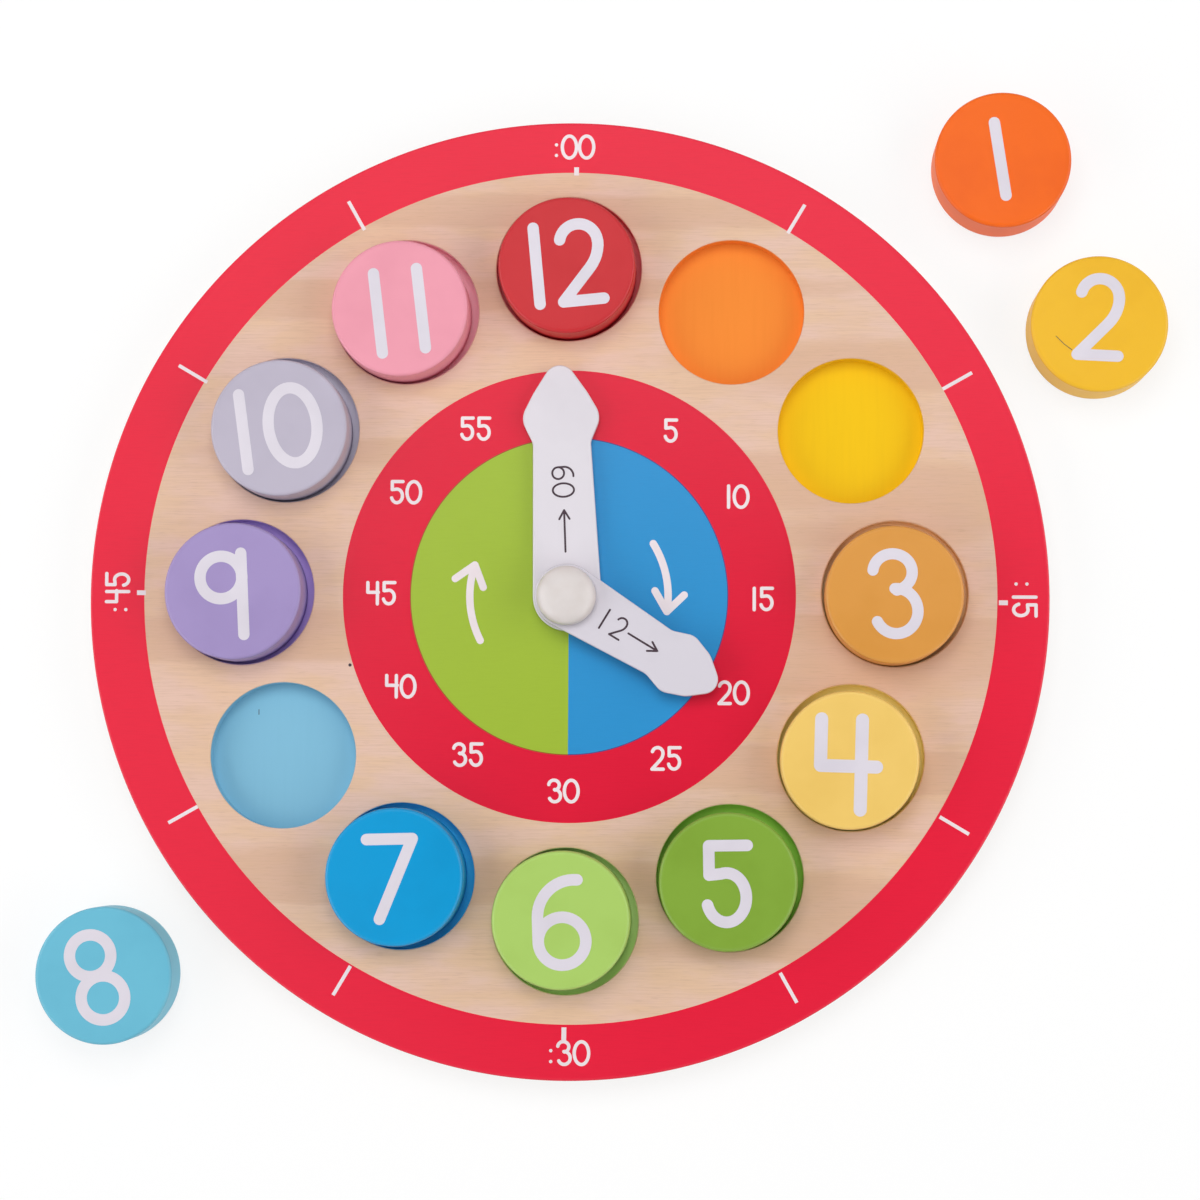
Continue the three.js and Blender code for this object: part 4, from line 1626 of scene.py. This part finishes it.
@dataclass
class Studio:
    """Camera, soft lamps, surroundings that light dimly but look white, and a white floor."""

    # Place in millimetres and turn about X, Y and Z in degrees
    camera_place: tuple[float, float, float] = (46.3, -67.8, 1012.0)
    camera_turn: tuple[float, float, float] = (3.84, 2.05, 0.31)
    view_angle: float = 21.16
    sensor: float = 36.0
    near_clip: float = 10.0
    floor_size: float = 6000.0
    floor_gap: float = 0.1
    floor_colour: str = "fdfdfd"
    floor_roughness: float = 0.9
    # Share of pure white in what is seen of the floor, which leaves a faint shadow
    floor_lift: float = 0.78
    # Strength of the light that the surroundings give
    surroundings: float = 0.2
    # Dark opening for the lens overhead, in the white that the paint mirrors: dark up
    # to the first angle from straight up, and white from the second on
    opening_dark: float = 4.5
    opening_edge: float = 8.5
    lamps: tuple[SoftBox, ...] = (
        SoftBox("lamp_left", (-900.0, -240.0, 600.0), 1500.0, 700.0, 6.7),
        SoftBox("lamp_right", (880.0, -160.0, 640.0), 1500.0, 700.0, 6.3),
        SoftBox("lamp_overhead", (-60.0, 360.0, 1000.0), 600.0, 600.0, 5.1, glare=False),
    )

    def build_camera(self) -> None:
        """Set up the camera at the photographer's place."""
        lens = bpy.data.cameras.new("camera")
        lens.sensor_width = self.sensor
        lens.lens = self.sensor / 2 / math.tan(math.radians(self.view_angle) / 2)
        lens.clip_start = self.near_clip * MM
        camera = put("camera", lens)
        turn = Euler([math.radians(angle) for angle in self.camera_turn], "XYZ").to_matrix().to_4x4()
        camera.matrix_world = Matrix.Translation(Vector(self.camera_place) * MM) @ turn
        bpy.context.scene.camera = camera

    def build_lamps(self) -> None:
        """Set up the soft lamps."""
        for lamp in self.lamps:
            light = bpy.data.lights.new(lamp.name, "AREA")
            light.shape = "RECTANGLE"
            light.size = lamp.width * MM
            light.size_y = lamp.height * MM
            light.energy = lamp.power
            holder = put(lamp.name, light)
            holder.visible_glossy = lamp.glare
            holder.location = Vector(lamp.place) * MM
            holder.rotation_euler = (-holder.location).to_track_quat("-Z", "Y").to_euler()

    def build_world(self) -> None:
        """Set up the surroundings, plain white to the eye and in what mirrors them."""
        world = bpy.data.worlds.new("studio")
        bpy.context.scene.world = world
        world.use_nodes = True
        tree = world.node_tree
        tree.nodes.clear()
        rays = add_node(tree, "ShaderNodeLightPath")
        place = add_node(tree, "ShaderNodeTexCoord")
        axes = add_node(tree, "ShaderNodeSeparateXYZ", inputs={"Vector": place.outputs["Generated"]})
        mirrored = add_node(tree, "ShaderNodeMapRange", {"interpolation_type": "SMOOTHSTEP"},
                            {"Value": axes.outputs["Z"],
                             "From Min": math.cos(math.radians(self.opening_dark)),
                             "From Max": math.cos(math.radians(self.opening_edge))})
        unseen = add_node(tree, "ShaderNodeMix", {"data_type": "FLOAT"},
                          {"Factor": rays.outputs["Is Glossy Ray"], "A": self.surroundings,
                           "B": mirrored.outputs["Result"]})
        clear = add_node(tree, "ShaderNodeMath", {"operation": "MAXIMUM"},
                         {0: rays.outputs["Is Camera Ray"], 1: rays.outputs["Is Transmission Ray"]})
        strength = add_node(tree, "ShaderNodeMix", {"data_type": "FLOAT"},
                            {"Factor": clear.outputs[0], "A": unseen.outputs["Result"], "B": 1.0})
        sky = add_node(tree, "ShaderNodeBackground",
                       inputs={"Color": (1.0, 1.0, 1.0, 1.0), "Strength": strength.outputs["Result"]})
        add_node(tree, "ShaderNodeOutputWorld", inputs={"Surface": sky.outputs["Background"]})

    def build_floor(self) -> None:
        """Lay the white floor just under the dial."""
        material, tree = new_material("white_studio_floor")
        shader = add_node(tree, "ShaderNodeBsdfPrincipled", inputs={
            "Base Color": linear(self.floor_colour), "Roughness": self.floor_roughness})
        rays = add_node(tree, "ShaderNodeLightPath")
        clear = add_node(tree, "ShaderNodeMath", {"operation": "MAXIMUM"},
                         {0: rays.outputs["Is Camera Ray"], 1: rays.outputs["Is Transmission Ray"]})
        seen = add_node(tree, "ShaderNodeMath", {"operation": "MAXIMUM"},
                        {0: clear.outputs[0], 1: rays.outputs["Is Glossy Ray"]})
        lift = add_node(tree, "ShaderNodeMath", {"operation": "MULTIPLY"},
                        {0: seen.outputs[0], 1: self.floor_lift})
        white = add_node(tree, "ShaderNodeEmission", inputs={"Strength": 1.0})
        mixed = add_node(tree, "ShaderNodeMixShader", inputs={
            "Fac": lift.outputs[0], 1: shader.outputs["BSDF"], 2: white.outputs["Emission"]})
        add_node(tree, "ShaderNodeOutputMaterial", inputs={"Surface": mixed.outputs["Shader"]})
        half = self.floor_size / 2
        corners = [Vector((x * half, y * half, -self.floor_gap)) * MM
                   for x, y in ((-1, -1), (1, -1), (1, 1), (-1, 1))]
        mesh = bpy.data.meshes.new("studio_floor")
        mesh.from_pydata(corners, [], [(0, 1, 2, 3)])
        mesh.materials.append(material)
        floor = put("studio_floor", mesh)

    def build(self) -> None:
        """Set up the whole studio."""
        bpy.context.scene.view_settings.view_transform = "Standard"
        self.build_camera()
        self.build_lamps()
        self.build_world()
        self.build_floor()


def main() -> None:
    """Build the clock and its studio."""
    logging.basicConfig(level=logging.INFO, format="%(name)s: %(message)s")
    Studio().build()
    Dial().build()
    NumberDiscs().build()
    Hands().build()
    Spindle().build()


if __name__ == "__main__":
    main()
